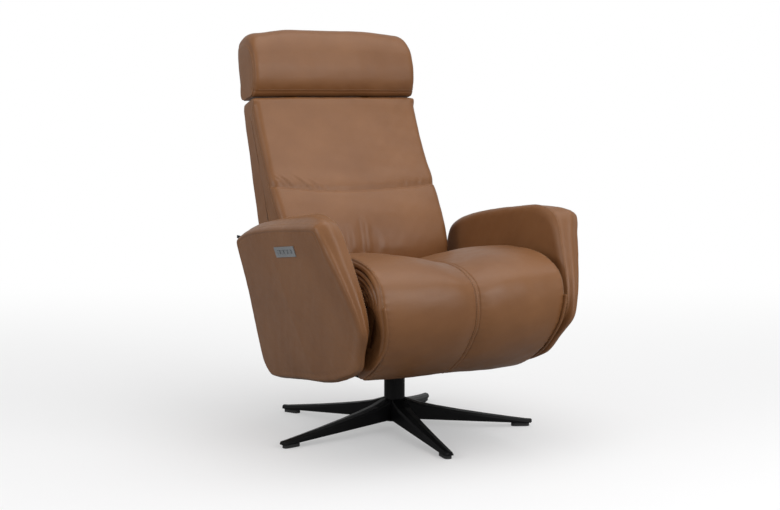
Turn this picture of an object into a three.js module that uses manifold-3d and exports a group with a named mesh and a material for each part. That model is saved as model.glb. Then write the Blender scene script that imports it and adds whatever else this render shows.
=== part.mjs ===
// A power swivel recliner on a five-leg star base, in millimetres.
// +Z is up, the front of the chair faces -Y and +X is the sitter's left.
// Shapes are laid out from the swivel axis at floor level. The last lines move the chair
// so that the middle of its outer box, on the floor, is the origin.
import * as THREE from "three";
import { mergeVertices } from "three/addons/utils/BufferGeometryUtils.js";
import Module from "manifold-3d";

const wasm = await Module();
wasm.setup();

// Fits that several pieces share
const GAP = 0.3;
const SOFT_GAP = 1.2;
const RUNNING_CLEARANCE = 0.25;
const OVERRUN = 6;
const MERGE = 0.001;

// Star base
const LEG_COUNT = 5;
const FIRST_LEG_DEG = 47.8;
const STAR_RADIUS = 375;
const HUB_RADIUS = 37;
const HUB_BOTTOM = 24;
const HUB_TOP = 74;
const HUB_FLOOR = 10;
const LEG_ROOT_RADIUS = 29;
const LEG_ROOT_TOP = 83;
const LEG_ROOT_UNDERSIDE = 28;
const LEG_ROOT_WIDTH = 44;
const LEG_TIP_WIDTH = 25;
const LEG_TIP_TOP = 18;
const LEG_TIP_UNDERSIDE = 8;
const LEG_EDGE_BEVEL = 4;
const LEG_RISE_POWER = 0.72;
const LEG_STATION_SHARES = [0, 0.12, 0.25, 0.42, 0.62, 0.82, 0.955];
const LEG_TIP_SHARES = [[0.75, 0.82], [1, 0.45]];
const COLUMN_SIDES = 24;
const HEXAGON_SIDES = 6;
const LINK_SIDES = 12;
const GLIDE_LENGTH = 50;
const GLIDE_WIDTH = 20;

// Column and swivel
const COLUMN_RADIUS = 28;
const COLUMN_WALL = 3;
const COLUMN_TOP = 205;
const BUSH_LENGTH = 22;
const BUSH_FLANGE = 2.5;
const SPINDLE_RADIUS = 16;
const SPINDLE_FLANGE_RADIUS = 50;
const SPINDLE_FLANGE = 6;
const THRUST_WASHER = 2.4;
const RETAINER_RADIUS = 21;
const RETAINER_HEIGHT = 6;
const RETAINER_NECK = 12;
const SWIVEL_PLATE_WIDTH = 190;
const SWIVEL_PLATE_DEPTH = 220;
const SWIVEL_PLATE = 6;
const PLATE_BOLT_COUNT = 4;
const PLATE_BOLT_CIRCLE = 40;
const PLATE_BOLT_RADIUS = 4;
const PLATE_BOLT_HEAD_RADIUS = 7;
const PLATE_BOLT_HEAD = 4.5;

// Seat frame
const CROSS_RAIL_DEPTH = 40;
const CROSS_RAIL_HEIGHT = 25;
const CROSS_RAIL_WALL = 2;
const CROSS_RAIL_SPREAD = 170;
const FRAME_HALF_WIDTH = 216;
const SIDE_BOARD = 18;
const SIDE_BOARD_TOP = 361;
const SIDE_BOARD_REAR_TOP = 381;
const SIDE_BOARD_FRONT_RISE = 26.7;
const DECK = 10;
const DECK_FRONT = -316;
const DECK_REAR = 150;
const DECK_SLOT = 60;
const SLOT_CLEARANCE = 4;
const FRONT_RAIL_DEPTH = 30;
const FRONT_RAIL_HEIGHT = 18;
const FRONT_RAIL_REAR = -318;
const REAR_PANEL_FRONT = 172;
const REAR_PANEL = 18;
const REAR_PANEL_TOP = 275;
const COVER_BOTTOM = 200;
const COVER_WALL = 4;
const COVER_RIM_TOP = 231;
const COVER_FRONT = -258;
const COVER_REAR = 196;
const COVER_HALF_WIDTH = 229;
const COVER_HOLE_RADIUS = 56;

// Seat, in side view: the crowned line of the leather from the back junction, over the
// front roll and down to its lower end, as shares of the reach and of the height
const SEAT_HEIGHT = 502;
const SEAT_REACH = 445;
const SEAT_LINE_SHARES = [
  [0.36, 0.86], [0.2, 0.893], [0.03, 0.93], [-0.24, 0.98], [-0.44, 1.0], [-0.636, 0.997],
  [-0.762, 0.982], [-0.863, 0.952], [-0.944, 0.906], [-0.984, 0.847], [-1.0, 0.767],
  [-0.991, 0.687], [-0.955, 0.618], [-0.894, 0.55], [-0.813, 0.49], [-0.719, 0.442],
  [-0.618, 0.404],
];
const SEAT_HALF_WIDTH = 262;
const SEAT_LOW_HALF_WIDTH = 232;
const SEAT_NARROWS_BELOW = 394;
const SEAT_NARROWS_TO = 214;
const SEAT_EDGE_ROUND = 24;
const SEAT_CHANNEL_SINK = 25;
const SEAT_CHANNEL_HALF_WIDTH = 105;
const SEAT_CHANNEL_LOW_SINK = 13;
const SEAT_CHANNEL_LOW_HALF_WIDTH = 34;
const SEAT_CHANNEL_STATION_SHARES = [0, 0.4, 0.8, 1.3, 2, 3, 4.5];
const SEAT_EDGE_STATION_SHARES = [0.5, 0.8, 0.97];
const SEAT_FRONT_BOW = 16;
const SEAT_LINE_STEPS = 200;
const CUSHION_POINTS = 26;
const CREASE_ROLL_POINTS = 9;
const LEGREST_PAD_POINTS = 22;
const SEAT_END_FADE_STEPS = 14;
const SEAT_REAR_FOOT = 124;
const SEAT_REAR_LEAN = 0.2;

// Leg rest
const LEGREST_PIVOT_Y = -400;
const LEGREST_PIVOT_Z = 423;
const LEGREST_SLOPE_DEG = 59;
const LEGREST_BOARD = 12;
const LEGREST_BOARD_START = 34;
const LEGREST_PAD_START = 37.4;
const LEGREST_BOARD_LENGTH = 204;
const LEGREST_BOARD_HALF_WIDTH = 214;
const LEGREST_PAD_TOP = 410;
const NOSE_FACE = -388;
const NOSE_FOOT = 437;
const HINGE_ROD_RADIUS = 4;
const HINGE_EYE_RADIUS = 8.5;
const HINGE_ARM_RADIUS = 6;
const HINGE_ROD_INNER = 48;
const HINGE_ROD_OUTER = 204;
const HINGE_PLATE = 5;
const STRAP_SET_DOWN = 3;
const STRAP_WIDTH = 14;
const LEAF_EYE_RADIUS = 7.5;
const LEAF_ARM_RADIUS = 4.5;
const LEAF_ARM_OFF = 14.5;
const HINGE_STATIONS = [62, 190];

// Parallelogram that drives the leg rest
const DRIVE_SHAFT_Y = -100;
const DRIVE_SHAFT_Z = 338;
const DRIVE_SHAFT_RADIUS = 11;
const LEVER_ALONG = 62;
const LEVER_OFF = 15;
const LEVER_STATION = 150;
const LINK_PLATE = 5;
const LINK_HALF_HEIGHT = 8;
const LINK_PIN_RADIUS = 4;
const GEARBOX_SIZE = [74, 84, 66];
const GEARBOX_MIDDLE = -84;
const GEARBOX_MOTOR_RADIUS = 21;
const GEARBOX_MOTOR_LENGTH = 92;

// Back, laid out along the leaning frame from the recline pivot
const RECLINE_PIVOT_Y = 232;
const RECLINE_PIVOT_Z = 365;
const BACK_LEAN_DEG = 18.4;
const BACK_RECLINE_DEG = 30;
const BACK_HALF_WIDTH = 254;
const BACK_FOOT = 28;
const BACK_LENGTH = 540;
const BACK_FRAME_THICKNESS = 16;
const BACK_FRAME_BAR = 26;
const BACK_FRAME_HALF_WIDTH = 211;
const BACK_FRAME_SET_DOWN = 20;
const BACK_REAR = 40;
const BACK_DEPTH = 122;
const BACK_FRONT_SHARES = [
  [0.0, 0.84], [0.09, 0.97], [0.18, 1.0], [0.27, 0.975], [0.36, 0.885], [0.46, 0.765],
  [0.57, 0.655], [0.68, 0.555], [0.79, 0.47], [0.89, 0.41], [0.96, 0.38], [1.0, 0.345],
];
const BACK_CROWN = 8;
const BACK_EDGE_ROUND = 20;
const BACK_END_SINK_SHARE = 0.6;
const BACK_LINE_POINTS = 30;
const BACK_STATION_SHARES = [0, 0.5, 0.8, 1];
const BACK_EDGE_STATION_SHARES = [0.45, 0.8, 0.97];
const BACK_SEAM_SHARE = 0.485;
const BACK_SEAM_SINK = 7;
const BACK_SEAM_HALF_WIDTH = 13;
const SKIRT_FOOT = -78;
const SKIRT_FRONT = 28;
const SKIRT_HALF_WIDTH = 244;
const RECLINE_PIN_RADIUS = 8;
const BACK_LEVER_RADIUS = 10;
const BOARD_EYE_RADIUS = 18;

// Back actuator
const BACK_MOTOR_Y = -112;
const BACK_MOTOR_Z = 306;
const BACK_LEVER_Y = 225.6;
const BACK_LEVER_Z = 315.7;
const ACTUATOR_TUBE = 30;
const ACTUATOR_BODY_SHARE = 0.62;
const ACTUATOR_ROD_START_SHARE = 0.341;
const ACTUATOR_ROD_RADIUS = 8;
const ACTUATOR_EYE_RADIUS = 13;
const ACTUATOR_TUBE_START = 18.2;
const GEARBOX_START = 19.5;
const GEARBOX_END = 39;
const MOTOR_END = 120;
const FORK_CHEEK_RADIUS = 9.1;
const OPEN_PIVOT_CLEARANCE = 2.4;
const BACK_LEVER_SPREAD = 26;

// Headrest
const HEADREST_HALF_WIDTH = 255;
const HEADREST_REACH = 27;
const HEADREST_DROP = 23;
const HEADREST_HEIGHT = 186;
const HEADREST_DEPTH = 120;
const HEADREST_LINE_SHARES = [
  [0.12, 0.012], [0.02, 0.06], [-0.07, 0.14], [-0.14, 0.26], [-0.13, 0.42], [-0.08, 0.58],
  [-0.01, 0.73], [0.1, 0.86], [0.25, 0.955], [0.45, 1.0], [0.7, 0.985], [0.88, 0.92],
  [0.98, 0.82], [1.0, 0.68], [0.975, 0.48], [0.9, 0.28], [0.8, 0.1], [0.7, 0.0], [0.58, -0.035],
  [0.3, -0.012],
];
const HEADREST_EDGE_ROUND = 22;
const HEADREST_CORNER_DROP = 22;
const HEADREST_CORNER_LENGTH = 130;
const HEADREST_LOW_EDGE_SHARE = 0.35;
const HEADREST_PIVOT_RISE = 31.7;
const HEADREST_PIVOT_FORWARD = 20.5;
const HEADREST_ROD_RADIUS = 5;
const HEADREST_BRACKET_STATION = 118;
const HEADREST_BRACKET = 5;
const HEADREST_BRACKET_RADIUS = 10;
const HEADREST_ELBOW_BACK = 26;
const HEADREST_ELBOW_DROP = 22;
const HEADREST_ARM_SHARE = 0.6;
const HEADREST_LINE_POINTS = 33;
const HEADREST_SLOT = 9;

// Arms: outlines as shares of the arm's length and height from its rear foot
const ARM_REAR = 289;
const ARM_LENGTH = 697;
const ARM_FOOT = 124;
const ARM_HEIGHT = 462;
const ARM_LINE_SHARES = [
  [0.0, 0.085], [0.02, 0.22], [0.047, 0.392], [0.069, 0.55], [0.077, 0.712], [0.082, 0.8],
  [0.098, 0.834], [0.209, 0.889], [0.397, 0.935], [0.58, 0.965], [0.749, 0.987],
  [0.825, 0.995], [0.86, 0.985], [0.893, 0.9], [0.94, 0.77], [0.981, 0.63], [1.0, 0.517],
  [0.997, 0.444], [0.948, 0.351], [0.904, 0.262], [0.851, 0.22], [0.776, 0.182],
  [0.648, 0.126], [0.525, 0.089], [0.33, 0.052], [0.089, 0.0], [0.03, 0.012],
];
const ARM_INNER_RISE = 34;
const ARM_RISE_FULL_Y = -195;
const ARM_RISE_END_Y = -312;
const ARM_TOP_THICKNESS = 83.8;
const ARM_OUTER_LEAN = 0.293;
const ARM_INNER_KNEE_WIDTH = 275.6;
const ARM_INNER_KNEE_HEIGHT = 353;
const ARM_INNER_UPPER_LEAN = 0.11;
const ARM_INNER_LOWER_LEAN = 0.285;
const ARM_EDGE_ROUND = 15;
const ARM_LINE_POINTS = 43;
const ARM_ROUNDING_SHARES = [
  [0, 1], [0.02, 0.3], [0.12, 0], [0.5, -0.4], [0.88, 0], [0.98, 0.3], [1, 1],
];
const ARM_OUTER_PANEL_SHARES = [0.4, 0.75];
const ARM_INNER_PANEL_SHARES = [0.72, 0.4, 0.12];
const ARM_PANEL_CROWN = 5;
const ARM_BLOCK_FRONT = -120;
const ARM_BLOCK_REAR = 130;
const ARM_BLOCK_BOTTOM = 250;
const ARM_BLOCK_TOP = 328;
const ARM_BOLT_RADIUS = 5;
const ARM_BOLT_HEAD_RADIUS = 9;
const ARM_BOLT_HEAD = 5;
const ARM_BOLT_BITE = 16;
const ARM_BOLT_SET_IN = 40;

// Control panel on the outer face of the right arm, and the pull of the arm's zip
const PANEL_LENGTH = 120;
const PANEL_HEIGHT = 27;
const PANEL_THICKNESS = 9;
const PANEL_PROUD = 1.6;
const PANEL_MIDDLE_Y = -107;
const PANEL_SET_DOWN = 78;
const PANEL_RISE_DEG = 6.8;
const PANEL_CROWN_SHARE = 0.6;
const KEY_COUNT = 4;
const KEY_LENGTH = 17;
const KEY_HEIGHT = 10;
const KEY_PITCH = 23;
const KEY_PROUD = 1.4;
const KEY_DEPTH = 5;
const KEY_TRAVEL = 0.8;
const ZIP_PULL_LENGTH = 36;
const ZIP_PULL_HEIGHT = 8;
const ZIP_PULL = 2.5;
const ZIP_PULL_UP_SHARE = 0.844;
const ZIP_PULL_STATION = 14;

// Power supply under the seat
const POWER_BOX_SIZE = [150, 74, 44];
const POWER_BOX_EDGE = 5;

const radians = THREE.MathUtils.degToRad;
const mix = THREE.MathUtils.lerp;
const at = (x, y, z) => new THREE.Vector3(x, y, z);
const sum = (values) => values.reduce((total, value) => total + value, 0);

// Solid helpers
function solidOf(geometry) {
  const bare = geometry.clone();
  bare.deleteAttribute("normal");
  bare.deleteAttribute("uv");
  const merged = mergeVertices(bare, MERGE);
  return new wasm.Manifold(
    new wasm.Mesh({
      numProp: 3,
      vertProperties: merged.attributes.position.array,
      triVerts: new Uint32Array(merged.index.array),
    }),
  );
}

function geometryOf(solid) {
  const mesh = solid.getMesh();
  const geometry = new THREE.BufferGeometry();
  geometry.setAttribute("position", new THREE.BufferAttribute(mesh.vertProperties, 3));
  geometry.setIndex(new THREE.BufferAttribute(mesh.triVerts, 1));
  geometry.computeVertexNormals();
  return geometry;
}

function cut(body, ...tools) {
  return geometryOf(tools.reduce((left, tool) => left.subtract(solidOf(tool)), solidOf(body)));
}

function join(...bodies) {
  return geometryOf(bodies.map(solidOf).reduce((all, body) => all.add(body)));
}

function turnedOut(geometry) {
  const place = geometry.attributes.position;
  const index = geometry.index.array;
  const corner = (i) => new THREE.Vector3().fromBufferAttribute(place, index[i]);
  let volume = 0;
  for (let i = 0; i < index.length; i += 3)
    volume += corner(i).dot(corner(i + 1).cross(corner(i + 2)));
  if (volume < 0)
    for (let i = 0; i < index.length; i += 3)
      [index[i + 1], index[i + 2]] = [index[i + 2], index[i + 1]];
  geometry.computeVertexNormals();
  return geometry;
}

// A closed skin over rings of equal point counts; flat(p) shows an end ring as a plane outline
function loft(rings, flat) {
  const count = rings[0].length;
  const faces = [];
  for (let r = 0; r + 1 < rings.length; r++)
    for (let i = 0; i < count; i++) {
      const near = r * count + i;
      const nearNext = r * count + ((i + 1) % count);
      faces.push(near, nearNext, nearNext + count, near, nearNext + count, near + count);
    }
  const last = (rings.length - 1) * count;
  for (const [ring, start, flip] of [[rings[0], 0, true], [rings.at(-1), last, false]]) {
    const outline = ring.map(flat);
    const flipped = THREE.ShapeUtils.area(outline) < 0;
    const order = outline.map((_, i) => (flipped ? count - 1 - i : i));
    const ordered = order.map((i) => outline[i]);
    for (const face of THREE.ShapeUtils.triangulateShape(ordered, [])) {
      const [a, b, c] = face.map((i) => start + order[i]);
      faces.push(...(flip === flipped ? [a, b, c] : [a, c, b]));
    }
  }
  const geometry = new THREE.BufferGeometry();
  geometry.setAttribute(
    "position",
    new THREE.Float32BufferAttribute(rings.flat().flatMap((p) => p.toArray()), 3),
  );
  geometry.setIndex(faces);
  return turnedOut(geometry);
}

const sideView = (p) => new THREE.Vector2(p.y, p.z);

function block(x0, x1, y0, y1, z0, z1) {
  return new THREE.BoxGeometry(x1 - x0, y1 - y0, z1 - z0).translate(
    (x0 + x1) / 2,
    (y0 + y1) / 2,
    (z0 + z1) / 2,
  );
}

// A hole of this radius stays clear of a pin whose corners lie on the pin's radius
const holeRadius = (pin, clearance, sides) => (pin + clearance) / Math.cos(Math.PI / sides);

const ROD_SIDES = 16;

function uprightRod(radius, z0, z1, x = 0, y = 0, sides = ROD_SIDES) {
  return new THREE.CylinderGeometry(radius, radius, z1 - z0, sides)
    .rotateX(Math.PI / 2)
    .translate(x, y, (z0 + z1) / 2);
}

function crossRod(radius, x0, x1, y, z, sides = ROD_SIDES) {
  return new THREE.CylinderGeometry(radius, radius, x1 - x0, sides)
    .rotateZ(Math.PI / 2)
    .translate((x0 + x1) / 2, y, z);
}

// A plate with its outline in side view, between two stations across the chair
function sidePlate(shape, x0, x1) {
  const across = new THREE.Matrix4().makeBasis(at(0, 1, 0), at(0, 0, 1), at(1, 0, 0));
  return new THREE.ExtrudeGeometry(shape, { depth: x1 - x0, bevelEnabled: false, curveSegments: 6 })
    .applyMatrix4(across)
    .translate(x0, 0, 0);
}

// Two stations across the chair, counted outwards from the middle on one side
const stations = (side, inner, width) =>
  side > 0 ? [inner, inner + width] : [-inner - width, -inner];

const outlineOf = (pairs) => new THREE.Shape(pairs.map(([y, z]) => new THREE.Vector2(y, z)));

// A bar with round ends between two pivots, each end with a hole when a hole radius is given
function barShape(a, b, radius, holeA = 0, holeB = 0) {
  const angle = Math.atan2(b[1] - a[1], b[0] - a[0]);
  const shape = new THREE.Shape();
  shape.absarc(b[0], b[1], radius, angle - Math.PI / 2, angle + Math.PI / 2, false);
  shape.absarc(a[0], a[1], radius, angle + Math.PI / 2, angle + (3 * Math.PI) / 2, false);
  for (const [[y, z], hole] of [[a, holeA], [b, holeB]])
    if (hole > 0) shape.holes.push(new THREE.Path().absarc(y, z, hole, 0, 2 * Math.PI, true));
  return shape;
}

// Points along a smooth line through a few chosen places
function smoothLine(places, count) {
  const line = new THREE.CatmullRomCurve3(places.map(([y, z]) => at(0, y, z)), false, "centripetal");
  return line.getSpacedPoints(count - 1).map((p) => [p.y, p.z]);
}

// How far a rounded side edge has fallen at a station across
function edgeSink(x, halfWidth, round) {
  const inside = Math.max(Math.abs(x) - (halfWidth - round), 0);
  return round - Math.sqrt(round ** 2 - inside ** 2);
}

// Finishes
const finish = (color, roughness, metalness) => () =>
  new THREE.MeshStandardMaterial({ color, roughness, metalness });
const leather = finish(0x8b6446, 0.5, 0);
const blackMetal = finish(0x17171a, 0.45, 0.7);
const blackPlastic = finish(0x1c1c1e, 0.6, 0);
const zincSteel = finish(0x9a9da0, 0.4, 0.9);
const plywood = finish(0xb98f5e, 0.7, 0);
const nylon = finish(0xe3e0d6, 0.55, 0);
const silverPanel = finish(0xa9abae, 0.35, 0.6);
const darkCloth = finish(0x242424, 0.9, 0);

const recliner = new THREE.Group();

function add(name, geometry, material) {
  const mesh = new THREE.Mesh(geometry, material());
  mesh.name = name;
  recliner.add(mesh);
}

// Star base: a cast hub with tapering legs, and a glide under each tip
function legRing(radius) {
  const share = (radius - LEG_ROOT_RADIUS) / (STAR_RADIUS - LEG_ROOT_RADIUS);
  const top = mix(LEG_ROOT_TOP, LEG_TIP_TOP, share ** LEG_RISE_POWER);
  const underside = mix(LEG_ROOT_UNDERSIDE, LEG_TIP_UNDERSIDE, share);
  const half = mix(LEG_ROOT_WIDTH, LEG_TIP_WIDTH, share) / 2;
  const bevel = LEG_EDGE_BEVEL;
  return [
    at(radius, -half, underside),
    at(radius, half, underside),
    at(radius, half, top - bevel * 2),
    at(radius, half - bevel, top - bevel / 2),
    at(radius, 0, top),
    at(radius, bevel - half, top - bevel / 2),
    at(radius, -half, top - bevel * 2),
  ];
}

function starLeg() {
  const rings = LEG_STATION_SHARES.map((share) =>
    legRing(mix(LEG_ROOT_RADIUS, STAR_RADIUS, share)),
  );
  const last = rings.at(-1);
  const middle = at(0, 0, (LEG_TIP_TOP + LEG_TIP_UNDERSIDE) / 2);
  const shoulder = last[0].x;
  for (const [reachShare, sizeShare] of LEG_TIP_SHARES)
    rings.push(
      last.map((p) =>
        at(
          mix(shoulder, STAR_RADIUS, reachShare),
          p.y * sizeShare,
          mix(middle.z, p.z, (sizeShare + 1) / 2),
        ),
      ),
    );
  return loft(rings, (p) => new THREE.Vector2(p.y, p.z));
}

const legTurns = Array.from({ length: LEG_COUNT }, (_, i) =>
  radians(FIRST_LEG_DEG + (360 / LEG_COUNT) * i),
);

function starBase() {
  const hub = uprightRod(HUB_RADIUS, HUB_BOTTOM, HUB_TOP, 0, 0, COLUMN_SIDES);
  const legs = legTurns.map((turn) => starLeg().rotateZ(turn));
  const socket = uprightRod(
    holeRadius(COLUMN_RADIUS, GAP, COLUMN_SIDES), HUB_BOTTOM + HUB_FLOOR, LEG_ROOT_TOP + OVERRUN,
    0, 0, COLUMN_SIDES,
  );
  return cut(join(hub, ...legs), socket);
}
add("star_base", starBase(), blackMetal);

function floorGlide(turn) {
  const outer = STAR_RADIUS - LEG_TIP_WIDTH / 4;
  const shape = barShape(
    [outer - GLIDE_LENGTH + GLIDE_WIDTH / 2, 0], [outer - GLIDE_WIDTH / 2, 0], GLIDE_WIDTH / 2,
  );
  const underside = mix(LEG_ROOT_UNDERSIDE, LEG_TIP_UNDERSIDE, legShareAt(outer));
  return new THREE.ExtrudeGeometry(shape, {
    depth: underside - GAP, bevelEnabled: false, curveSegments: 5,
  }).rotateZ(turn);
}

function legShareAt(radius) {
  return (radius - LEG_ROOT_RADIUS) / (STAR_RADIUS - LEG_ROOT_RADIUS);
}
legTurns.forEach((turn, i) => add(`floor_glide_${i + 1}`, floorGlide(turn), blackPlastic));

// Column: a tube in the hub, with a bush at each end that the spindle turns in
const columnBottom = HUB_BOTTOM + HUB_FLOOR + GAP;
const columnBore = COLUMN_RADIUS - COLUMN_WALL;
const bushOuter = (columnBore - GAP) * Math.cos(Math.PI / COLUMN_SIDES);
const bushBore = holeRadius(SPINDLE_RADIUS, RUNNING_CLEARANCE, COLUMN_SIDES);

function ringSolid(inner, outer, z0, z1) {
  const corners = [[inner, z0], [outer, z0], [outer, z1], [inner, z1], [inner, z0]];
  const profile = corners.map(([r, z]) => new THREE.Vector2(r, z));
  return new THREE.LatheGeometry(profile, COLUMN_SIDES).rotateX(Math.PI / 2);
}

const retainerTop = columnBottom + RETAINER_NECK;
add("column_tube", ringSolid(columnBore, COLUMN_RADIUS, columnBottom, COLUMN_TOP), blackMetal);
add(
  "lower_bush",
  ringSolid(bushBore, bushOuter, retainerTop + GAP, retainerTop + GAP + BUSH_LENGTH),
  nylon,
);

function upperBush() {
  const flangeTop = COLUMN_TOP + GAP + BUSH_FLANGE;
  const profile = [
    [bushBore, COLUMN_TOP - BUSH_LENGTH], [bushOuter, COLUMN_TOP - BUSH_LENGTH],
    [bushOuter, COLUMN_TOP + GAP], [COLUMN_RADIUS, COLUMN_TOP + GAP],
    [COLUMN_RADIUS, flangeTop], [bushBore, flangeTop], [bushBore, COLUMN_TOP - BUSH_LENGTH],
  ].map(([r, z]) => new THREE.Vector2(r, z));
  return new THREE.LatheGeometry(profile, COLUMN_SIDES).rotateX(Math.PI / 2);
}
add("upper_bush", upperBush(), nylon);

const washerBottom = COLUMN_TOP + GAP + BUSH_FLANGE + GAP;
const washerTop = washerBottom + THRUST_WASHER;
add("thrust_washer", ringSolid(bushBore, COLUMN_RADIUS, washerBottom, washerTop), zincSteel);

// Spindle: shaft and flange in one, with a retainer clipped in its groove below the lower bush
const flangeBottom = washerTop + GAP;
const flangeTop = flangeBottom + SPINDLE_FLANGE;
const neckRadius = SPINDLE_RADIUS - COLUMN_WALL;
const retainerBottom = retainerTop - RETAINER_HEIGHT;

const boltPlaces = Array.from({ length: PLATE_BOLT_COUNT }, (_, i) => {
  const turn = radians((360 / PLATE_BOLT_COUNT) * (i + 1 / 2));
  return [PLATE_BOLT_CIRCLE * Math.cos(turn), PLATE_BOLT_CIRCLE * Math.sin(turn)];
});

function boltHoles(radius, z0, z1) {
  return boltPlaces.map(([x, y]) => uprightRod(radius, z0, z1, x, y));
}

const plateBoltHole = holeRadius(PLATE_BOLT_RADIUS, GAP, ROD_SIDES);

function swivelSpindle() {
  const foot = columnBottom + GAP * 2;
  const profile = [
    [0, foot], [SPINDLE_RADIUS, foot], [SPINDLE_RADIUS, retainerBottom - GAP],
    [neckRadius, retainerBottom - GAP], [neckRadius, retainerTop],
    [SPINDLE_RADIUS, retainerTop], [SPINDLE_RADIUS, flangeBottom],
    [SPINDLE_FLANGE_RADIUS, flangeBottom], [SPINDLE_FLANGE_RADIUS, flangeTop], [0, flangeTop],
  ].map(([r, z]) => new THREE.Vector2(r, z));
  const turned = new THREE.LatheGeometry(profile, COLUMN_SIDES).rotateX(Math.PI / 2);
  return cut(turned, ...boltHoles(plateBoltHole, flangeBottom - OVERRUN, flangeTop + OVERRUN));
}
add("swivel_spindle", swivelSpindle(), zincSteel);
add(
  "spindle_retainer",
  ringSolid(
    holeRadius(neckRadius, RUNNING_CLEARANCE, COLUMN_SIDES), RETAINER_RADIUS,
    retainerBottom, retainerTop - GAP,
  ),
  zincSteel,
);

// Swivel plate bolted on the spindle's flange
const plateBottom = flangeTop + GAP;
const plateTop = plateBottom + SWIVEL_PLATE;
add(
  "swivel_plate",
  cut(
    block(
      -SWIVEL_PLATE_WIDTH / 2, SWIVEL_PLATE_WIDTH / 2,
      -SWIVEL_PLATE_DEPTH / 2, SWIVEL_PLATE_DEPTH / 2, plateBottom, plateTop,
    ),
    ...boltHoles(plateBoltHole, plateBottom - OVERRUN, plateTop + OVERRUN),
  ),
  blackMetal,
);

function plateBolt(x, y) {
  const headTop = flangeBottom - GAP;
  return join(
    uprightRod(PLATE_BOLT_RADIUS, headTop - PLATE_BOLT_HEAD / 2, plateTop + GAP, x, y),
    uprightRod(PLATE_BOLT_HEAD_RADIUS, headTop - PLATE_BOLT_HEAD, headTop, x, y, HEXAGON_SIDES),
  );
}
boltPlaces.forEach(([x, y], i) => add(`plate_bolt_${i + 1}`, plateBolt(x, y), zincSteel));

// Cross rails: rectangular tubes over the swivel plate, from side board to side board
const railBottom = plateTop + GAP;
const railTop = railBottom + CROSS_RAIL_HEIGHT;

function crossRail(middle) {
  const half = CROSS_RAIL_DEPTH / 2;
  const end = FRAME_HALF_WIDTH - GAP;
  const wall = CROSS_RAIL_WALL;
  return cut(
    block(-end, end, middle - half, middle + half, railBottom, railTop),
    block(
      -end - OVERRUN, end + OVERRUN,
      middle - half + wall, middle + half - wall, railBottom + wall, railTop - wall,
    ),
  );
}
add("cross_rail_front", crossRail(-CROSS_RAIL_SPREAD / 2), blackMetal);
add("cross_rail_rear", crossRail(CROSS_RAIL_SPREAD / 2), blackMetal);

// Lines along the closed leg rest, seen from the side: along runs down it, off runs inwards
const slope = radians(LEGREST_SLOPE_DEG);
const legrestPlace = (along, off) => [
  LEGREST_PIVOT_Y + along * Math.cos(slope) + off * Math.sin(slope),
  LEGREST_PIVOT_Z - along * Math.sin(slope) + off * Math.cos(slope),
];

// Lines along the back: along runs up its lean from the recline pivot, off to the rear
const lean = radians(BACK_LEAN_DEG);
const fullLean = radians(BACK_LEAN_DEG + BACK_RECLINE_DEG);
const backPlace = (along, off, tilt = lean) => [
  RECLINE_PIVOT_Y + along * Math.sin(tilt) + off * Math.cos(tilt),
  RECLINE_PIVOT_Z + along * Math.cos(tilt) - off * Math.sin(tilt),
];

const backFrameTop = BACK_LENGTH - BACK_FRAME_SET_DOWN;
const headrestPivot = backPlace(BACK_LENGTH + HEADREST_PIVOT_RISE, -HEADREST_PIVOT_FORWARD);
const headrestFront = headrestPivot[0] - HEADREST_REACH;
const headrestBottom = headrestPivot[1] - HEADREST_DROP;

// The crowned line of the leather, and how it sinks at the seam and rounds off at the sides
const seatLine = smoothLine(
  SEAT_LINE_SHARES.map(([reach, height]) => [reach * SEAT_REACH, height * SEAT_HEIGHT]),
  SEAT_LINE_STEPS,
);

function lineNormals(line) {
  return line.map((_, i) => {
    const before = line[Math.max(i - 1, 0)];
    const after = line[Math.min(i + 1, line.length - 1)];
    const run = [after[0] - before[0], after[1] - before[1]];
    const length = Math.hypot(...run);
    return [run[1] / length, -run[0] / length];
  });
}
const seatNormals = lineNormals(seatLine);

// The channel is broad on the seat and narrows over the front roll
const channelNarrows = seatLine.findIndex(([y]) => y < -SEAT_REACH / 2);
const channelIsLow = seatLine.findIndex(([, z]) => z < LEGREST_PIVOT_Z);

function seatSink(x, i) {
  const share = Math.min(Math.max((i - channelNarrows) / (channelIsLow - channelNarrows), 0), 1);
  const halfWidth = mix(SEAT_CHANNEL_HALF_WIDTH, SEAT_CHANNEL_LOW_HALF_WIDTH, share);
  const depth = mix(SEAT_CHANNEL_SINK, SEAT_CHANNEL_LOW_SINK, share);
  return depth * Math.exp(-((x / halfWidth) ** 2)) + edgeSink(x, SEAT_HALF_WIDTH, SEAT_EDGE_ROUND);
}

function seatWidthShare(z) {
  const share = (z - SEAT_NARROWS_TO) / (SEAT_NARROWS_BELOW - SEAT_NARROWS_TO);
  const clamped = Math.min(Math.max(share, 0), 1);
  return mix(SEAT_LOW_HALF_WIDTH / SEAT_HALF_WIDTH, 1, clamped);
}

const seatPoint = ([y, z], x) => at(x * seatWidthShare(z), y, z);

function seatBow(y, x) {
  const forward = Math.min(Math.max(-y / SEAT_REACH, 0), 1);
  return SEAT_FRONT_BOW * forward ** 4 * (x / SEAT_HALF_WIDTH) ** 2;
}

const seatStations = (() => {
  const near = SEAT_CHANNEL_STATION_SHARES.map((share) => share * SEAT_CHANNEL_LOW_HALF_WIDTH);
  const flat = SEAT_HALF_WIDTH - SEAT_EDGE_ROUND;
  const far = SEAT_EDGE_STATION_SHARES.map((share) => flat + SEAT_EDGE_ROUND * share);
  const half = [...near, mix(near.at(-1), flat, 0.5), flat, ...far];
  return [...half.slice(1).reverse().map((x) => -x), ...half];
})();

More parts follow.
